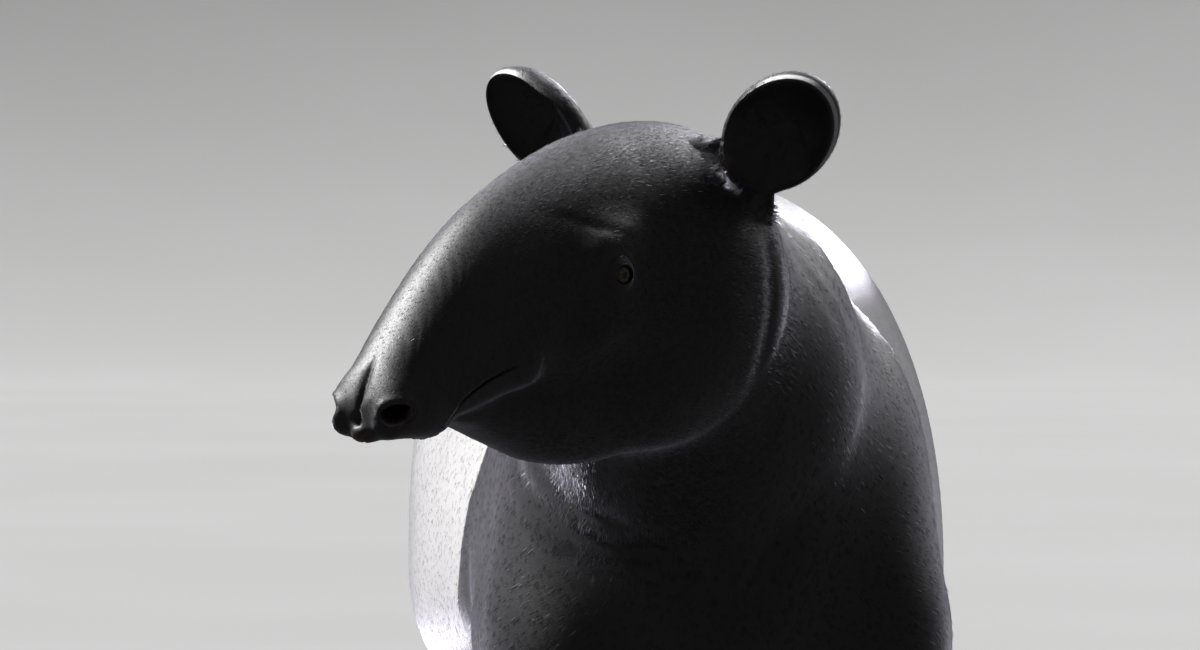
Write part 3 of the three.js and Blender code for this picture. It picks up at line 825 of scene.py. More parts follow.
def at_details(x, y, z):
    forward, left, up = head_parts(x, y, z)
    side = np.abs(left)
    snout = (np.abs(NOSTRIL(forward, side, up)) < 4) | (side < 5)
    return by_mouth(forward, up, 5, 6) | (forward > 205) & snout


def at_mouth(x, y, z):
    forward, _, up = head_parts(x, y, z)
    return by_mouth(forward, up, 2.6, 2)


def at_tail(x, y, z):
    return (np.abs(x) < 62) & (y > 655) & (z > 680) & (z < 850)


def at_legs(x, y, z):
    return (z < 430) & (z > FOOT_CUT + 30)


# The ears' cups: rings from the back of the ear over its rim and down to the bottom of the cup.
AROUND_EAR = 96
EAR_PATCH = 8.0
EAR_RINGS = (EAR_PATCH, 6.0, 4.2, 2.7, 1.5, 0.7)


def cup_angles(side):
    """For each turn round the cup: the angle from its bottom to its rim, and a radian's millimetres there.
    Also the places on the cup and the field of the ear before the cup is cut out of it."""
    root, *ways = ear_frame(side)
    turn = np.linspace(0, 2 * np.pi, AROUND_EAR, endpoint=False)

    def cup_at(angle):
        sphere = np.stack([np.sin(turn) * np.sin(angle), -np.cos(angle), np.cos(turn) * np.sin(angle)], 1)
        return root + (CUP_AT + sphere * CUP_RADII) @ np.array(ways)

    def uncut(x, y, z):
        return joined(16, flesh_field(x, y, z) + COAT_DEPTH, whole_ear(*ear_parts(side, x, y, z)))

    low, high = np.full(AROUND_EAR, 0.5), np.full(AROUND_EAR, 2.6)
    for _ in range(20):
        middle = (low + high) / 2
        inside = uncut(*cup_at(middle).T) < 0
        low, high = np.where(inside, middle, low), np.where(inside, high, middle)
    scale = np.linalg.norm(cup_at(low) - cup_at(low - 0.05), axis=1) / 0.05
    return turn, low, scale, cup_at, uncut


def ear_patch(side):
    """The rim and the cup of one ear as a lot."""
    turn, rim, scale, cup_at, uncut = cup_angles(side)
    rings = []
    for reach in EAR_RINGS:
        start = cup_at(rim - reach / scale)
        way = outward(lambda x, y, z: EAR_CUP(*ear_parts(side, x, y, z)), start)
        rings.append(settle(uncut, start - way * uncut(*start.T)[:, None], 6))
    inner = [cup_at(rim - reach / scale) for reach in (0.9, 2.0, 3.8, 6.5, 10.0)]
    last = rim - 10.0 / scale
    inner += [cup_at(last * share) for share in (0.86, 0.72, 0.58, 0.44, 0.30, 0.16, 0.05)]
    inner[3:] = [settle(skin_field, ring, 2, 2.0) for ring in inner[3:]]
    crest = (rings[-1] + inner[0]) / 2
    ahead = inner[0] - inner[1] + rings[-1] - rings[-2]
    rings.append(crest + unit(ahead) * 0.9)
    shape = np.stack(rings + inner)
    into_head = smooth(-np.cos(turn), -0.1, 0.5)[None, :, None]
    for _ in range(40):
        shape[1:-1] += into_head * 0.5 * ((shape[:-2] + shape[2:]) / 2 - shape[1:-1])
    return ringed(list(shape))


def ring_quads(count, around):
    """Quads from each ring of corners to the next."""
    j = np.arange(around)
    row = np.stack([j, (j + 1) % around, (j + 1) % around + around, j + around], 1)
    return (row + np.arange(count - 1)[:, None, None] * around).reshape(-1, 4)


def ringed(rings):
    """Rings of corners as a lot: quads from ring to ring and one face to close the last."""
    count, around = len(rings), len(rings[0])
    back = [(count - 1) * around + j for j in range(around)]
    return np.concatenate(rings), ring_quads(count, around), [back], np.ones(count * around, bool)


def under_ear_patch(side, p):
    """Which corners of the plain net an ear's patch takes the place of."""
    turn, rim, scale, *_ = cup_angles(side)
    parts = ear_parts(side, *p.T)
    ball = (np.stack(parts, 1) - CUP_AT) / CUP_RADII
    angle = np.arccos(np.clip(-ball[:, 1] / np.linalg.norm(ball, axis=1), -1, 1))
    at = np.arctan2(ball[:, 0], ball[:, 2])
    rim_here, scale_here = (np.interp(at, turn, known, period=2 * np.pi) for known in (rim, scale))
    behind = (rim_here - angle) * scale_here
    near = np.linalg.norm(ball, axis=1) < 1.5
    covered = (behind > -1.5) & (behind < EAR_PATCH + 1.5)
    gone = near & (covered | (EAR_CUP(*parts) < 1.2) & (behind > 0))
    rings = ear_patch(side)[0][: AROUND_EAR * (len(EAR_RINGS) + 1)]
    apart = np.array([((rings - q) ** 2).sum(1).min() for q in p[near]]) ** 0.5
    gone[near] |= apart < 2.4
    return gone


def patched(lot, under, patch, normal):
    """A lot with a patch sewn in where the corners under it were."""
    p, quads, others, fixed = lot
    gone = under[quads].any(1)
    border = np.intersect1d(quads[gone], quads[~gone])
    return sewn((p, quads[~gone], others, fixed), border, patch, np.arange(len(patch[2][0])), normal)


def lot_of(net):
    return net[0], net[1], [], np.zeros(len(net[0]), bool)


def build_skin_shape():
    """One net over the whole animal: its corners in millimetres and its faces."""
    head, body = lot_of(netted(HEAD_GRID, NECK_LEAN)), lot_of(netted(BODY_GRID, NECK_LEAN))
    neck_way = FORWARD + (0, 0, NECK_LEAN)
    cut_level = (HEAD_AT @ neck_way + NECK_CUT) / np.linalg.norm(neck_way)
    neck_way /= np.linalg.norm(neck_way)
    for side in (1, -1):
        centre, gaze, *_ = eye_ways(side)
        q = head[0] - centre
        # the face round the eye that the lids take the place of
        under = (np.linalg.norm(q, axis=1) < 50) & (q @ gaze > -10)
        under &= np.linalg.norm(q - np.outer(q @ gaze, gaze), axis=1) < EYE_PATCH + 1.6
        head = patched(head, under, eye_patch(side), gaze)
        head = patched(head, under_ear_patch(side, head[0]), ear_patch(side), ear_frame(side)[2])
    head = refined(refined(head, at_details), at_mouth)
    body = refined(refined(refined(body, at_tail), at_tail), at_legs)
    feet = [lot_of(netted(foot_grid(joints, side))) for _, side, joints, _ in LEGS]
    for patch in (head, *feet):
        # the open ring of a patch is laid in the plane of its cut and sewn to the body's loose edge near it
        normal, level = (neck_way, cut_level) if patch is head else (np.array([0, 0, 1.0]), FOOT_CUT)
        patch_p = patch[0]
        ring = np.unique(border_edges(patch[1]))
        ring = ring[np.abs(patch_p[ring] @ normal - level) < 7]
        patch_p[ring] += np.outer(level - patch_p[ring] @ normal, normal)
        patch_p[ring] = settle(skin_field, patch_p[ring], 3, held=normal)
        border = np.unique(border_edges(body[1]))
        p = body[0][border]
        at_neck = np.abs(p @ neck_way - cut_level) < 14
        at_foot = (np.hypot(*(p - patch_p[ring].mean(0))[:, :2].T) < 110) & (p[:, 2] < FOOT_CUT + 14)
        body = sewn(body, border[at_neck if patch is head else at_foot], patch, ring, normal)
    p, quads, others, fixed = body
    used = np.zeros(len(p), bool)
    used[quads] = True
    used[np.concatenate([np.array(face) for face in others])] = True
    place = np.cumsum(used) - 1
    faces = place[quads].tolist() + [place[face].tolist() for face in others]
    p, fixed = p[used], fixed[used]
    free = settle(skin_field, p[~fixed], 3)
    p[~fixed] = free - outward(skin_field, free) * crease_depth(free)[:, None]
    return p, faces


# What the skin tells its materials and its coat, worked out at every corner.
def saddle_depth(x, y, z):
    """How far a point lies inside the white saddle, in millimetres."""
    front = y + 200 + 50 * smooth(z, 600, 950) + 5 * np.sin(z / 41 + x / 60) + 3 * np.sin(z / 17 + 2)
    thigh = np.maximum(z - 472 - 0.12 * (y - 420) + 6 * np.sin(y / 38), 262 - y)
    return np.minimum(front, thigh)


def outward(field, p, step=0.6):
    slope = np.stack([field(*(p + way * step).T) - field(*(p - way * step).T) for way in np.eye(3)], 1)
    return unit(slope)


# The white of each ear's rim: how far it leans to the outer side, and where along the ear it comes in.
RIM_WHITE = {1: (0.35, 72, 104), -1: (0.9, 62, 88)}


def mixed(one, two, share):
    return one * (1 - share)[:, None] + two * share[:, None]


def skin_facts(p):
    """Measures at points of the skin: markings, bare parts, the lie of the coat and its length."""
    x, y, z = p.T
    forward, left, up = head_parts(x, y, z)
    side = np.abs(left)
    normal = outward(skin_field, p)
    ear = np.full(len(p), 400.0)
    edge = np.full(len(p), 400.0)
    rim, tip, cup = np.zeros((3, len(p)))
    ear_way = np.zeros((len(p), 3))
    for s in (1, -1):
        parts = ear_parts(s, x, y, z)
        body = ear_shape(*parts)
        close = (body < 25) & (np.linalg.norm(np.stack(parts), axis=0) < 180)
        ear = np.where(close, body, ear)
        edge = np.where(close, ear_edge(parts), edge)
        lean, *comes_in = RIM_WHITE[s]
        rim = np.where(close, smooth(parts[2] - s * parts[0] * lean, *comes_in), rim)
        tip = np.where(close, smooth(parts[2], 98, 124), tip)
        cup = np.maximum(cup, (ear_edge(parts) < -3) & (parts[2] > -10) & (ear < 20))
        _, across, _, along = ear_frame(s)
        ear_way += close[:, None] * (along + across * (parts[0] / 60)[:, None])
    is_ear = smooth(head_field(x, y, z), 4, 14) * (ear < 6)
    is_head = smooth(forward, -300, -190) * (z > 640)
    hind = smooth(y, 200, 300)
    fall = 1 - smooth(z, 330 + 120 * hind, 520 + 60 * hind)
    trunk_way = np.stack([0.12 * x / 250, np.ones(len(p)), -0.22 - 0.5 * np.abs(normal[:, 0])], 1)
    head_way = -FORWARD - 0.3 * UP * smooth(side, 20, 80)[:, None]
    way = mixed(mixed(trunk_way, head_way, is_head), np.array([0, 0.15, -1.0]), fall)
    way = mixed(mixed(way, np.array([0, 0.2, -1.0]), smooth(y, 600, 700)), ear_way, is_ear)
    way = unit(way - normal * (way * normal).sum(1, keepdims=True))
    nostril = NOSTRIL(forward, side, up)
    socket = np.sqrt((forward - EYE_AT[0]) ** 2 + (side - EYE_AT[1]) ** 2 + (up - EYE_AT[2]) ** 2)
    mouth = np.abs(up - mouth_level(forward)) + 40 * (forward < MOUTH_CORNER[0]) + 400 * (forward < 40)
    length = 3.2 + 3.2 * (1 - smooth(forward, -60, 200)) + 3.5 * (1 - smooth(forward, -280, -120))
    length = np.where(is_head > 0.5, length, 8.5)
    length = length * (1 - 0.45 * (1 - smooth(z, 60, 420)))
    length = np.where(is_ear > 0.5, 4.2 - 2.4 * tip, length)
    length = length * (0.35 + 0.65 * smooth(socket, 19, 36))
    bare = np.maximum(1 - smooth(nostril, 1, 5), 1 - smooth(np.abs(socket - 15), 1, 4))
    bare = np.maximum(bare, (1 - smooth(mouth, 2, 6)) * smooth(-up, 60, 80) * (is_head > 0.5))
    bare = np.maximum(bare, 1 - smooth(z, 2, 9))
    pink = 0.9 * (1 - smooth(nostril, 0.2, 1.6)) * smooth(side, 23, 31) * smooth(forward, 205, 220)
    tip_pink = 0.9 * smooth(forward, 222, 234) * (1 - smooth(up, -133, -121)) * (1 - smooth(side, 9, 17))
    lip = ridge(up - mouth_level(forward), 1.5, 2.4) * between(forward, (150, 168), (172, 182))
    pink = np.maximum(np.maximum(pink, tip_pink), 0.55 * lip * (is_head > 0.5))
    # region 7 has no coat: the lowest 16 mm of the feet
    region = np.select(
        [z < 16, is_ear > 0.5, (is_head > 0.5) & (left > 0), is_head > 0.5, z < 330, y < -210, x > 0],
        [7, 0, 1, 2, 3, 4, 5], 6,
    )
    depth = saddle_depth(x, y, z) - 400 * is_head - 4000 * (is_ear > 0.5)
    return {
        "lie": way, "white_depth": depth / 1000, "ear_edge": edge / 1000, "ear_rim": rim,
        "reach": length / 1000, "bare": bare, "pink": pink, "ear_cup": cup, "region": region,
    }


def placed(name, data):
    made = bpy.data.objects.new(name, data)
    bpy.context.scene.collection.objects.link(made)
    return made


def smooth_shaded(mesh):
    mesh.polygons.foreach_set("use_smooth", np.ones(len(mesh.polygons), bool))


def mesh_from(name, points, faces):
    """A mesh object from points in millimetres of the drawing's own frame."""
    mesh = bpy.data.meshes.new(name)
    mesh.from_pydata((np.asarray(points) + OFFSET) / 1000, [], faces)
    mesh.update()
    smooth_shaded(mesh)
    return placed(name, mesh)


def keep_fact(mesh, name, values):
    values = np.asarray(values)
    kind, key = ("FLOAT_VECTOR", "vector") if values.ndim == 2 else ("FLOAT", "value")
    attribute = mesh.attributes.new(name, kind, "POINT")
    attribute.data.foreach_set(key, values.astype(np.float32).ravel())


# Nodes: one class makes and wires them, for materials and for geometry.
class Wire:
    """An output socket that can be reckoned with."""

    def __init__(self, nodes, socket):
        self.nodes, self.socket = nodes, socket

    def _math(self, operation, *values):
        return self.nodes.add("ShaderNodeMath", {"operation": operation}, dict(enumerate(values)))

    def __add__(self, other):
        return self._math("ADD", self, other)

    __radd__ = __add__

    def __mul__(self, other):
        return self._math("MULTIPLY", self, other)

    __rmul__ = __mul__

    def __sub__(self, other):
        return self._math("SUBTRACT", self, other)

    def __rsub__(self, other):
        return self._math("SUBTRACT", other, self)

    def most(self, other):
        return self._math("MAXIMUM", self, other)

    def least(self, other):
        return self._math("MINIMUM", self, other)

    def step(self, low, high):
        """A smooth step from 0 at low to 1 at high."""
        return self.nodes.add("ShaderNodeMapRange", {"interpolation_type": "SMOOTHSTEP"},
                              {"Value": self, "From Min": low, "From Max": high})


class Nodes:
    def __init__(self, tree):
        self.tree = tree

    def add(self, kind, settings=None, inputs=None, output=0):
        node = self.tree.nodes.new(kind)
        for key, value in (settings or {}).items():
            setattr(node, key, value)
        self.feed(node, inputs or {})
        return Wire(self, node.outputs[output])

    def feed(self, node, inputs):
        for key, value in inputs.items():
            if isinstance(value, Wire):
                self.tree.links.new(value.socket, node.inputs[key])
            else:
                node.inputs[key].default_value = value

    def mix(self, share, one, two):
        """Colours mixed: all of one at 0, all of two at 1."""
        return self.add("ShaderNodeMix", {"data_type": "RGBA"}, {0: share, 6: one, 7: two}, 2)

    def fact(self, name):
        return self.add("ShaderNodeAttribute", {"attribute_name": name}, output="Fac")


class Finish(Nodes):
    """A material with a Principled shader and the few nodes that most finishes share."""

    def __init__(self, name, **values):
        self.material = bpy.data.materials.new(name)
        self.material.use_nodes = True
        super().__init__(self.material.node_tree)
        self.shader = self.tree.nodes["Principled BSDF"]
        for key, value in values.items():
            self.shader.inputs[key.replace("_", " ")].default_value = value
        self.place = self.add("ShaderNodeTexCoord", output="Object")

    def stretched(self, scale):
        return self.add("ShaderNodeMapping", inputs={"Vector": self.place, "Scale": scale})

    def noise(self, scale, detail, roughness=0.5, place=None):
        return self.add("ShaderNodeTexNoise", inputs={
            "Vector": place or self.place, "Scale": scale, "Detail": detail, "Roughness": roughness,
        })

    def cells(self, scale):
        return self.add("ShaderNodeTexVoronoi", {"feature": "DISTANCE_TO_EDGE"},
                        {"Vector": self.place, "Scale": scale}, "Distance")

    def drive(self, **wires):
        for key, wire in wires.items():
            self.tree.links.new(wire.socket, self.shader.inputs[key.replace("_", " ")])

    def bump(self, height, distance):
        return self.add("ShaderNodeBump", inputs={"Height": height, "Distance": distance, "Strength": 0.5})


def shade(value):
    return (*value, 1.0)


def coat_colours(finish, grain):
    """The markings that skin and coat share, and the share of white in them."""
    props = bpy.context.scene.tapir_coat
    drift = finish.noise(34, 2) - 0.5
    white = (finish.fact("white_depth") + drift * 0.012 + (grain - 0.5) * 0.008).step(-0.0025, 0.0035)
    off_rim = finish.fact("ear_edge") - 0.0016
    off_rim = off_rim.most(off_rim * -1)
    rim = (1 - (off_rim + (grain - 0.5) * 0.001).step(0.0012, 0.0026)) * finish.fact("ear_rim")
    broad = finish.noise(7, 3).step(0.35, 0.7)
    black = finish.mix(broad, shade(props.black), shade(props.black_worn))
    black = finish.mix(grain.step(0.3, 0.8) * 0.5, black, shade(props.black_tip))
    pale = finish.mix(finish.noise(11, 4).step(0.3, 0.75), shade(props.white), shade(props.white_shaded))
    share = white.most(rim)
    return finish.mix(share, black, pale), share


FUR = {
    "Specular_IOR_Level": 0.6, "Sheen_Weight": 1.0, "Sheen_Roughness": 0.28,
    "Sheen_Tint": (0.89, 0.86, 1.0, 1.0),
}


def skin_finish():
    props = bpy.context.scene.tapir_coat
    finish = Finish("tapir_skin", **FUR)
    strands = finish.noise(620, 2, 0.6)
    grain = finish.noise(1500, 2, 0.6)
    colour, white = coat_colours(finish, strands)
    colour = finish.mix(finish.fact("bare") * 0.75 * (1 - white), colour, shade(props.bare))
    flesh = finish.fact("pink") * finish.noise(130, 3).step(0.3, 0.65)
    colour = finish.mix(flesh, colour, shade(props.pink))
    finish.drive(Base_Color=colour)
    finish.drive(Roughness=(strands * 0.25 + 0.4).most(white * 0.7) - finish.fact("bare") * 0.12)
    wrinkles = finish.cells(230).step(0.0, 0.12)
    height = strands * 0.5 + grain * 0.3 + wrinkles * finish.fact("bare") * 0.4
    finish.drive(Normal=finish.bump(height, 0.0007))
    return finish.material


def fur_finish():
    finish = Finish("tapir_coat", **FUR)
    tuft = finish.fact("shade")
    colour, white = coat_colours(finish, tuft)
    finish.drive(Base_Color=colour, Roughness=(tuft * 0.2 + 0.42).most(white * 0.7))
    return finish.material


def horn_finish():
    finish = Finish("hoof_horn", Roughness=0.42, IOR=1.5)
    rings = finish.add("ShaderNodeTexWave", {"bands_direction": "Z"},
                       {"Vector": finish.place, "Scale": 62.0, "Distortion": 2.2, "Detail": 2.0}, "Fac")
    fibres = finish.noise(300, 3, place=finish.stretched((1, 1, 0.12)))
    worn = finish.noise(60, 4).step(0.45, 0.75)
    props = bpy.context.scene.tapir_feet
    colour = finish.mix(fibres.step(0.3, 0.7), shade(props.horn), shade(props.horn_streak))
    colour = finish.mix(worn * 0.5, colour, shade(props.horn_worn))
    finish.drive(Base_Color=colour, Roughness=worn * 0.25 + 0.38)
    finish.drive(Normal=finish.bump(rings * 0.25 + fibres * 0.5, 0.0006))
    return finish.material


def eye_finish():
    props = bpy.context.scene.tapir_eyes
    finish = Finish("tapir_eye", Roughness=0.4, Coat_Weight=0.8, Coat_Roughness=0.03,
                    Specular_IOR_Level=0.1)
    off_axis = finish.fact("off_axis")
    ray = finish.add("ShaderNodeAttribute", {"attribute_name": "ray"}, output="Vector")
    rays = finish.noise(3.2, 4, place=ray)
    iris = finish.mix(rays.step(0.35, 0.7), shade(props.iris), shade(props.iris_light))
    iris = finish.mix(off_axis.step(0.40, 0.56), iris, shade(props.iris_edge))
    colour = finish.mix((off_axis + (rays - 0.5) * 0.02).step(0.20, 0.235), shade(props.pupil), iris)
    colour = finish.mix(off_axis.step(0.55, 0.62), colour, shade(props.white_of_eye))
    finish.drive(Base_Color=colour)
    return finish.material


# Sizes and colours that a user may change.
def colour_setting(name, default, description):
    return bpy.props.FloatVectorProperty(
        name=name, description=description, default=default, size=3, min=0, max=1, subtype="COLOR"
    )


def number_setting(name, default, low, high, description, **more):
    return bpy.props.FloatProperty(
        name=name, description=description, default=default, min=low, max=high, **more
    )


class TapirCoatSettings(bpy.types.PropertyGroup):
    black: colour_setting("Black", (0.0040, 0.0036, 0.0042), "Black of the head, shoulders and legs")
    black_worn: colour_setting("Worn black", (0.0085, 0.0075, 0.0082), "Browner black in broad patches")
    black_tip: colour_setting("Black hair tips", (0.020, 0.0182, 0.022), "Greyer tips of the black hairs")
    white: colour_setting("White", (0.53, 0.522, 0.514), "White of the saddle and the ear rims")
    white_shaded: colour_setting("Shaded white", (0.47, 0.462, 0.458), "Greyer white in broad patches")
    bare: colour_setting("Bare skin", (0.0055, 0.0045, 0.0045), "Skin round eyes, lips and nostrils")
    pink: colour_setting("Flesh", (0.17, 0.062, 0.052), "Flesh colour of the nostrils and the snout's tip")
    length: number_setting("Hair length", 1.0, 0.2, 2.0, "Length of the coat, as a share of its own")
    lift: number_setting(
        "Lift", math.radians(11), 0, math.radians(60), "How steeply the hairs stand off the skin",
        unit="ROTATION",
    )
    seed: bpy.props.IntProperty(
        name="Seed", description="Seed of the coat's random draws", default=7, min=0
    )


class TapirEyeSettings(bpy.types.PropertyGroup):
    radius: number_setting(
        "Radius", EYE_RADIUS / 1000, 0.005, 0.03, "Radius of the eyeball", unit="LENGTH"
    )
    iris: colour_setting("Iris", (0.045, 0.030, 0.013), "Brown of the iris")
    iris_light: colour_setting("Iris rays", (0.12, 0.090, 0.042), "Amber rays of the iris")
    iris_edge: colour_setting("Iris edge", (0.018, 0.010, 0.006), "Dark edge of the iris")
    pupil: colour_setting("Pupil", (0.002, 0.002, 0.002), "Pupil")
    white_of_eye: colour_setting("Eyeball", (0.035, 0.022, 0.018), "Dark eyeball outside the iris")


class TapirFeetSettings(bpy.types.PropertyGroup):
    horn: colour_setting("Horn", (0.022, 0.018, 0.015), "Dark horn of the hooves")
    horn_streak: colour_setting("Horn streaks", (0.055, 0.045, 0.036), "Paler fibres of the horn")
    horn_worn: colour_setting("Worn horn", (0.12, 0.10, 0.08), "Horn where it is scuffed")


class TapirStageSettings(bpy.types.PropertyGroup):
    floor: colour_setting("Floor", (0.18, 0.18, 0.178), "Pale floor")
    sky: colour_setting("Surround", (0.80, 0.81, 0.83), "Pale light from all round")
    key: number_setting("Key light", 9.4, 0, 20, "Strength of the key light")
    fill: number_setting("Surrounding light", 0.12, 0, 5, "Strength of the light from all round")


class TAPIR_OT_skin(bpy.types.Operator):
    """Builds the skin as one net over the flesh and replaces the solids of the flesh with it"""

    bl_idname = "tapir.skin"
    bl_label = "Skin"

    def execute(self, context):
        p, faces = build_skin_shape()
        skin = mesh_from("skin", p, faces)
        for name, values in skin_facts(p).items():
            keep_fact(skin.data, name, values)
        unwrap(skin)
        skin.data.materials.append(skin_finish())
        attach(skin, "root")
        legs = [name for name, *_ in LEGS]
        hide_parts("head", "neck", "shoulders", "torso", "ear_left", "ear_right", "tail", *legs)
        return {"FINISHED"}


def unwrap(piece):
    """Lays the skin out flat in the map that the coat's patches are placed on."""
    piece.data.uv_layers.new(name="OFBake")
    context = bpy.context
    for other in context.selected_objects:
        other.select_set(False)
    context.view_layer.objects.active = piece
    piece.select_set(True)
    bpy.ops.object.mode_set(mode="EDIT")
    bpy.ops.mesh.select_all(action="SELECT")
    bpy.ops.uv.smart_project(angle_limit=math.radians(70), island_margin=0.001)
    bpy.ops.object.mode_set(mode="OBJECT")
    piece.select_set(False)


BLADES = 5
BLADE_CORNERS = 5
# Kinds of tuft: width of a blade, spread and fan of the blades, first seed. Each kind has a few shapes.
TUFTS = {"fine": (0.065, 0.30, 0.18, 20), "body": (0.050, 0.26, 0.16, 40)}
TUFT_SHAPES = 4


def tuft(name, width, spread, fan, seed):
    """A tuft of tapered blades of length 1 along X, flat on Z, with its layout for the map."""
    draw = np.random.default_rng(seed)
    points, faces = [], []
    for k in range(BLADES):
        start = spread * ((k + 0.5) / BLADES * 2 - 1 + draw.uniform(-0.2, 0.2))
        back = draw.uniform(-0.3, 0.25)
        long = draw.uniform(0.7, 1.15)
        turn = start / max(spread, 1e-6) * fan * draw.uniform(0.4, 1.2)
        raised = draw.uniform(0.0, 0.07)
        half = width / 2 * draw.uniform(0.75, 1.2)
        first = len(points)
        for along, share in ((0.0, 0.75), (0.45, 1.0), (1.0, 0.0)):
            x = back + along * long
            y = start + turn * along**1.4
            z = raised * along - 0.10 * along**2
            for side in (-1, 1) if share else (0,):
                points.append((x, y + side * half * share, z))
        faces += [(first, first + 2, first + 3, first + 1), (first + 2, first + 4, first + 3)]
    mesh = bpy.data.meshes.new(name)
    mesh.from_pydata(points, [], faces)
    shape = np.array(points)
    keep_fact(mesh, "layout", (shape - shape.min(0)) / np.ptp(shape, axis=0).max())
    return placed(name, mesh)


# The size of a tuft's own patch of the map, as a share of the map.
PATCH_SIZE = 0.003


def coat_tree(tufts, material):
    """Sets tufts over one region of the skin, each along the lie of the coat."""
    tree = bpy.data.node_groups.new("coat", "GeometryNodeTree")
    face = tree.interface
    face.new_socket("Geometry", in_out="INPUT", socket_type="NodeSocketGeometry")
    for name in ("Region", "Per square metre", "Length", "Lift", "Stray"):
        face.new_socket(name, in_out="INPUT", socket_type="NodeSocketFloat")
    face.new_socket("Seed", in_out="INPUT", socket_type="NodeSocketInt")
    face.new_socket("Geometry", in_out="OUTPUT", socket_type="NodeSocketGeometry")
    nodes = Nodes(tree)
    given = tree.nodes.new("NodeGroupInput")
    value = {socket.name: Wire(nodes, socket) for socket in given.outputs if socket.name}

    def named(name, kind="FLOAT"):
        return nodes.add("GeometryNodeInputNamedAttribute", {"data_type": kind}, {"Name": name},
                         "Attribute")

    def drawn(low, high, extra, kind="FLOAT"):
        """A value between low and high, drawn for each tuft with a seed of its own."""
        node = tree.nodes.new("FunctionNodeRandomValue")
        node.data_type = kind
        limits = [socket for socket in node.inputs if socket.enabled and socket.name in ("Min", "Max")]
        for socket, limit in zip(limits, (low, high)):
            socket.default_value = (limit,) * 3 if kind == "FLOAT_VECTOR" else limit
        nodes.feed(node, {"Seed": value["Seed"] + extra})
        return Wire(nodes, next(socket for socket in node.outputs if socket.enabled))

    def plus(one, two):
        return nodes.add("ShaderNodeVectorMath", {"operation": "ADD"}, {0: one, 1: two})

    def scaled(one, share):
        return nodes.add("ShaderNodeVectorMath", {"operation": "SCALE"}, {0: one, "Scale": share})

    def stored(geometry, name, fact, kind="FLOAT_VECTOR", domain="POINT"):
        return nodes.add("GeometryNodeStoreNamedAttribute", {"data_type": kind, "domain": domain},
                         {"Geometry": geometry, "Name": name, "Value": fact})

    here = nodes.add("FunctionNodeCompare", {"data_type": "FLOAT", "operation": "EQUAL"},
                     {"A": named("region"), "B": value["Region"], "Epsilon": 0.45})
    clear = 1 - (named("bare") * 2).least(1.0).most(named("ear_cup") * 0.75)
    points = nodes.add("GeometryNodeDistributePointsOnFaces", {"distribute_method": "RANDOM"}, {
        "Mesh": value["Geometry"], "Selection": here, "Density": value["Per square metre"] * clear,
        "Seed": value["Seed"],
    }, "Points")
    normal = Wire(nodes, points.socket.node.outputs["Normal"])
    points = stored(points, "shade", drawn(0.0, 1.0, 11), "FLOAT")
    points = stored(points, "root", named("OFBake", "FLOAT_VECTOR"))
    points = stored(points, "skin_normal", normal)
    lifted = nodes.add("ShaderNodeMath", {"operation": "SINE"},
                       {0: value["Lift"] * drawn(0.5, 1.5, 12)})
    way = plus(named("lie", "FLOAT_VECTOR"), scaled(normal, lifted))
    way = plus(way, scaled(drawn(-1.0, 1.0, 13, "FLOAT_VECTOR"), value["Stray"]))
    turn = nodes.add("FunctionNodeAxesToRotation", {"primary_axis": "X", "secondary_axis": "Z"},
                     {"Primary Axis": way, "Secondary Axis": normal})
    kinds = tree.nodes.new("GeometryNodeJoinGeometry")
    for piece in tufts:
        info = nodes.add("GeometryNodeObjectInfo", None, {"Object": piece, "As Instance": True}, "Geometry")
        tree.links.new(info.socket, kinds.inputs[0])
    set_out = nodes.add("GeometryNodeInstanceOnPoints", None, {
        "Points": points, "Instance": Wire(nodes, kinds.outputs[0]), "Pick Instance": True,
        "Instance Index": drawn(0, len(tufts) - 1, 14, "INT"), "Rotation": turn,
        "Scale": named("reach") * value["Length"] * drawn(0.75, 1.25, 15),
    })
    solid = nodes.add("GeometryNodeRealizeInstances", None, {"Geometry": set_out})
    patch = plus(named("root", "FLOAT_VECTOR"), scaled(named("layout", "FLOAT_VECTOR"), PATCH_SIZE))
    solid = stored(solid, "OFBake", patch, "FLOAT2", "CORNER")
    done = nodes.add("GeometryNodeSetMaterial", None, {"Geometry": solid, "Material": material})
    nodes.feed(tree.nodes.new("NodeGroupOutput"), {"Geometry": done})
    return tree


NORMAL_STREW = 0.12
# Facts that only the setting of the coat needs.
SPARE_FACTS = ("root", "layout", "lie", "reach", "bare", "pink", "ear_cup", "region", "skin_normal")


def turn_normals(mesh, seed):
    """Gives each blade the skin's own shading, tipped a little at random, as light falls on fur."""
    normals = np.empty(len(mesh.vertices) * 3, np.float32)
    mesh.attributes["skin_normal"].data.foreach_get("vector", normals)
    blades = len(mesh.vertices) // BLADE_CORNERS
    strewn = np.random.default_rng(seed).normal(0, NORMAL_STREW, (blades, 3)).repeat(BLADE_CORNERS, 0)
    smooth_shaded(mesh)
    mesh.normals_split_custom_set_from_vertices(unit(normals.reshape(-1, 3) + strewn))


# Coat pieces: name, region of the skin, tufts per square metre, length, lift, stray, kind of tuft, slot.
COATS = [
    ("coat_ears", 0, 125000, 1.0, 1.1, 0.22, "fine", "black_coat"),
    ("coat_head_left", 1, 78000, 0.9, 0.65, 0.10, "fine", "black_coat"),
    ("coat_head_right", 2, 74000, 0.9, 0.65, 0.10, "fine", "black_coat"),
    ("coat_legs", 3, 21000, 1.0, 0.7, 0.12, "body", "black_coat"),
    ("coat_front", 4, 15000, 1.0, 0.7, 0.10, "body", "black_coat"),
    ("coat_saddle_left", 5, 13500, 1.0, 0.3, 0.05, "body", "white_coat"),
    ("coat_saddle_right", 6, 13500, 1.0, 0.3, 0.05, "body", "white_coat"),
]


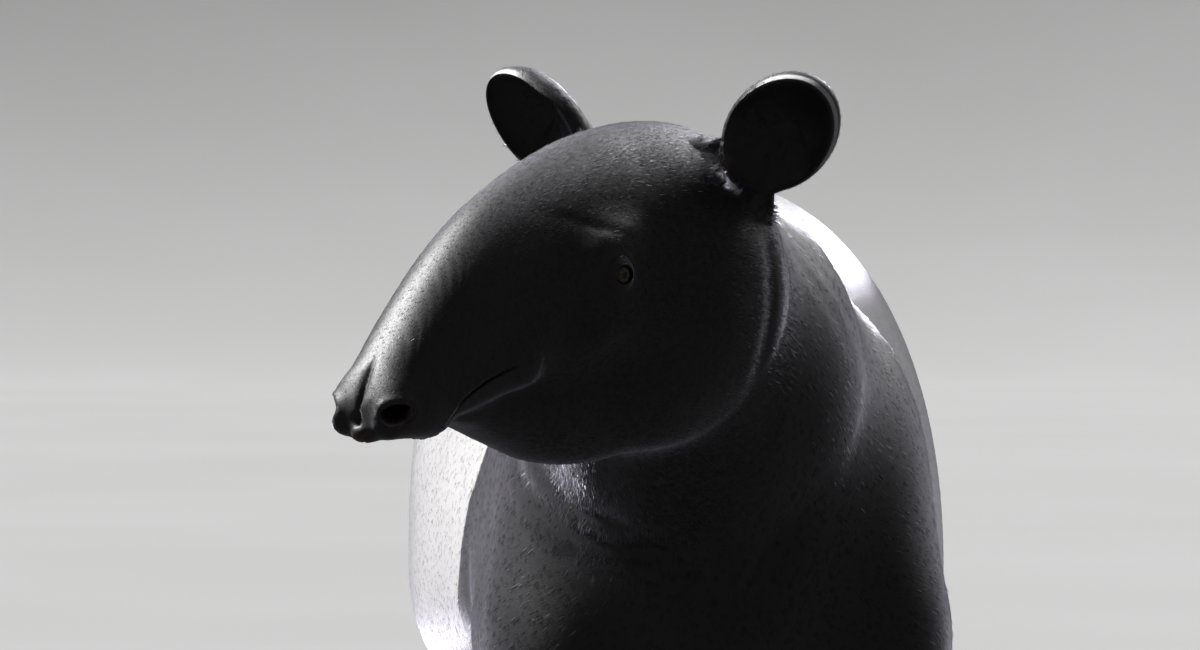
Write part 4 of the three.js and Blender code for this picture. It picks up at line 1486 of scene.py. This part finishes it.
class TAPIR_OT_coat(bpy.types.Operator):
    """Sets the coat over the skin in short tufts that lie along the body"""

    bl_idname = "tapir.coat"
    bl_label = "Coat"

    def execute(self, context):
        props = context.scene.tapir_coat
        skin = bpy.data.objects["skin"]
        finish = fur_finish()
        kinds = {
            kind: [tuft(f"{kind}_{k}", *sizes, first + k) for k in range(TUFT_SHAPES)]
            for kind, (*sizes, first) in TUFTS.items()
        }
        trees = {name: coat_tree(tufts, finish) for name, tufts in kinds.items()}
        for name, region, crowd, length, lift, stray, kind, slot in COATS:
            carrier = skin.copy()
            context.scene.collection.objects.link(carrier)
            modifier = carrier.modifiers.new("coat", "NODES")
            modifier.node_group = trees[kind]
            values = {
                "Region": float(region), "Per square metre": float(crowd), "Length": length * props.length,
                "Lift": lift * props.lift, "Stray": stray, "Seed": props.seed + region * 31,
            }
            for item in trees[kind].interface.items_tree:
                if item.in_out == "INPUT" and item.name in values:
                    modifier[item.identifier] = values[item.name]
            ready = carrier.evaluated_get(context.evaluated_depsgraph_get())
            mesh = bpy.data.meshes.new_from_object(ready)
            bpy.data.objects.remove(carrier)
            mesh.name = name
            turn_normals(mesh, props.seed + region)
            for spare in SPARE_FACTS:
                if spare in mesh.attributes:
                    mesh.attributes.remove(mesh.attributes[spare])
            coat = placed(name, mesh)
            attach(coat, "root")
        for piece in sum(kinds.values(), []):
            mesh = piece.data
            bpy.data.objects.remove(piece)
            bpy.data.meshes.remove(mesh)
        return {"FINISHED"}


EYE_ROWS = 40
EYE_AROUND = 56


class TAPIR_OT_eyes(bpy.types.Operator):
    """Builds both eyeballs, each with a bulging cornea over its iris"""

    bl_idname = "tapir.eyes"
    bl_label = "Eyes"

    def execute(self, context):
        finish = eye_finish()
        radius = context.scene.tapir_eyes.radius * 1000
        angle = np.repeat(np.linspace(0, np.pi, EYE_ROWS + 1), EYE_AROUND)
        turn = np.tile(np.linspace(0, 2 * np.pi, EYE_AROUND, endpoint=False), EYE_ROWS + 1)
        swell = radius * (0.985 + 0.05 * ridge(angle, 0, 0.42))
        faces = ring_quads(EYE_ROWS + 1, EYE_AROUND)[:, [0, 3, 2, 1]].tolist()
        for name, side in (("eye_left", 1), ("eye_right", -1)):
            centre, gaze, one, two = eye_ways(side)
            across = np.outer(np.cos(turn), one) + np.outer(np.sin(turn), two)
            way = np.outer(np.cos(angle), gaze) + across * np.sin(angle)[:, None]
            ball = mesh_from("eyeball_" + name[4:], centre + way * swell[:, None], faces)
            keep_fact(ball.data, "off_axis", angle)
            keep_fact(ball.data, "ray", np.stack([np.cos(turn) * 2, np.sin(turn) * 2, angle * 0.8], 1))
            shape = bmesh.new()
            shape.from_mesh(ball.data)
            bmesh.ops.remove_doubles(shape, verts=shape.verts, dist=1e-6)
            bmesh.ops.recalc_face_normals(shape, faces=shape.faces)
            shape.to_mesh(ball.data)
            shape.free()
            ball.data.materials.append(finish)
            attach(ball, "root")
            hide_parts(name)
        return {"FINISHED"}


class TAPIR_OT_hooves(bpy.types.Operator):
    """Builds the hooves of each foot as rounded caps of horn with worn edges"""

    bl_idname = "tapir.hooves"
    bl_label = "Hooves"

    def execute(self, context):
        finish = horn_finish()
        for name, side, joints, toes in LEGS:
            caps = [hoof_field(*place, -HORN_GAP) for place in toe_places(joints, toes, side)]

            def field(x, y, z):
                d = np.minimum.reduce([cap(x, y, z) for cap in caps])
                return carved(1.5, d, z - HORN_LOWEST)

            axes = foot_grid(joints, side, HORN_STEP, (-2, 52, HORN_STEP))
            corners, faces = surface_net(axes, field(*to_body(*np.meshgrid(*axes, indexing="ij"))))
            p = settle(field, np.stack(to_body(*corners.T), 1))
            hooves = mesh_from(name.replace("leg", "hooves"), p, faces.tolist())
            hooves.data.materials.append(finish)
            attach(hooves, "root")
            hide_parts(*(name.replace("leg", "hoof") + "_" + toe[0] for toe in toes))
        return {"FINISHED"}


# The floor is flat to a radius and rises round it, in metres.
FLOOR_FLAT = 22
FLOOR_RISE = 10
FLOOR_SIDES = 96
# Suns: name, strength as a share of the key's, how wide the sun is in degrees, the way it shines.
SUNS = [("key", 1.0, 11, (0.72, -0.32, -0.95)), ("rim", 0.2, 30, (-0.5, -0.8, -0.6))]
CAMERA_AT = (-0.3369, -5.4812, 1.001)
CAMERA_DOWN = math.radians(1.47)
CAMERA_TURN = math.radians(-3)
CAMERA_LENS = 169.4


class TAPIR_OT_stage(bpy.types.Operator):
    """Makes the pale floor, the soft lights and the camera"""

    bl_idname = "tapir.stage"
    bl_label = "Stage"

    def execute(self, context):
        props = context.scene.tapir_stage
        profile = [(0.0, 0.0), (8.0, 0.0), (FLOOR_FLAT, 0.0)]
        for turn in np.linspace(0, math.pi / 2, 25)[1:]:
            profile.append((FLOOR_FLAT + FLOOR_RISE * math.sin(turn), FLOOR_RISE * (1 - math.cos(turn))))
        profile.append((FLOOR_FLAT + FLOOR_RISE, 16.0))
        dish = bmesh.new()
        for a, b in zip(profile, profile[1:]):
            for k in range(FLOOR_SIDES):
                turns = (2 * math.pi * k / FLOOR_SIDES, 2 * math.pi * (k + 1) / FLOOR_SIDES)
                rim = [(b[0] * math.cos(t), b[0] * math.sin(t), b[1]) for t in turns]
                rim += [(a[0] * math.cos(t), a[0] * math.sin(t), a[1]) for t in reversed(turns)]
                dish.faces.new([dish.verts.new(v) for v in rim])
        bmesh.ops.remove_doubles(dish, verts=dish.verts, dist=1e-5)
        mesh = bpy.data.meshes.new("floor")
        dish.to_mesh(mesh)
        dish.free()
        smooth_shaded(mesh)
        floor = placed("floor", mesh)
        floor.visible_shadow = floor.visible_diffuse = floor.visible_glossy = False
        finish = Finish("pale_floor", Roughness=0.8)
        cloudy = finish.noise(0.6, 2) * 0.04
        finish.drive(Base_Color=finish.mix(cloudy, shade(props.floor), shade(props.sky)))
        mesh.materials.append(finish.material)
        for name, share, wide, aim in SUNS:
            lamp = bpy.data.lights.new(name, "SUN")
            lamp.energy, lamp.angle = props.key * share, math.radians(wide)
            light = placed(name, lamp)
            light.rotation_mode = "QUATERNION"
            light.rotation_quaternion = Vector(aim).to_track_quat("-Z", "Y")
        world = bpy.data.worlds.new("surround")
        world.use_nodes = True
        background = world.node_tree.nodes["Background"]
        background.inputs["Color"].default_value = shade(props.sky)
        background.inputs["Strength"].default_value = props.fill
        context.scene.world = world
        context.scene.view_settings.view_transform = "Standard"
        camera = bpy.data.cameras.new("camera")
        camera.lens, camera.sensor_width, camera.clip_end = CAMERA_LENS, 36, 300
        view = placed("camera", camera)
        view.location = CAMERA_AT
        view.rotation_euler = (math.pi / 2 - CAMERA_DOWN, 0, CAMERA_TURN)
        context.scene.camera = view
        return {"FINISHED"}


class TAPIR_PT_panel(bpy.types.Panel):
    """Lists the steps that build the tapir"""

    bl_idname = "TAPIR_PT_panel"
    bl_label = "Malayan Tapir"
    bl_space_type = "VIEW_3D"
    bl_region_type = "UI"
    bl_category = "Tapir"

    def draw(self, context):
        for group in ("tapir_coat", "tapir_eyes", "tapir_feet", "tapir_stage"):
            settings = getattr(context.scene, group)
            box = self.layout.box()
            for name in settings.__annotations__:
                box.prop(settings, name)
        for step in STEPS:
            self.layout.operator(step.bl_idname)


GROUPS = {
    "tapir_coat": TapirCoatSettings,
    "tapir_eyes": TapirEyeSettings,
    "tapir_feet": TapirFeetSettings,
    "tapir_stage": TapirStageSettings,
}
STEPS = [TAPIR_OT_stage, TAPIR_OT_skin, TAPIR_OT_coat, TAPIR_OT_eyes, TAPIR_OT_hooves]


def register():
    for made in (*GROUPS.values(), *STEPS, TAPIR_PT_panel):
        bpy.utils.register_class(made)
    for name, group in GROUPS.items():
        setattr(bpy.types.Scene, name, bpy.props.PointerProperty(type=group))


def unregister():
    for name in GROUPS:
        delattr(bpy.types.Scene, name)
    for made in (TAPIR_PT_panel, *reversed(STEPS), *GROUPS.values()):
        bpy.utils.unregister_class(made)


def main():
    register()
    for step in STEPS:
        group, name = step.bl_idname.split(".")
        getattr(getattr(bpy.ops, group), name)()


if __name__ == "__main__":
    main()
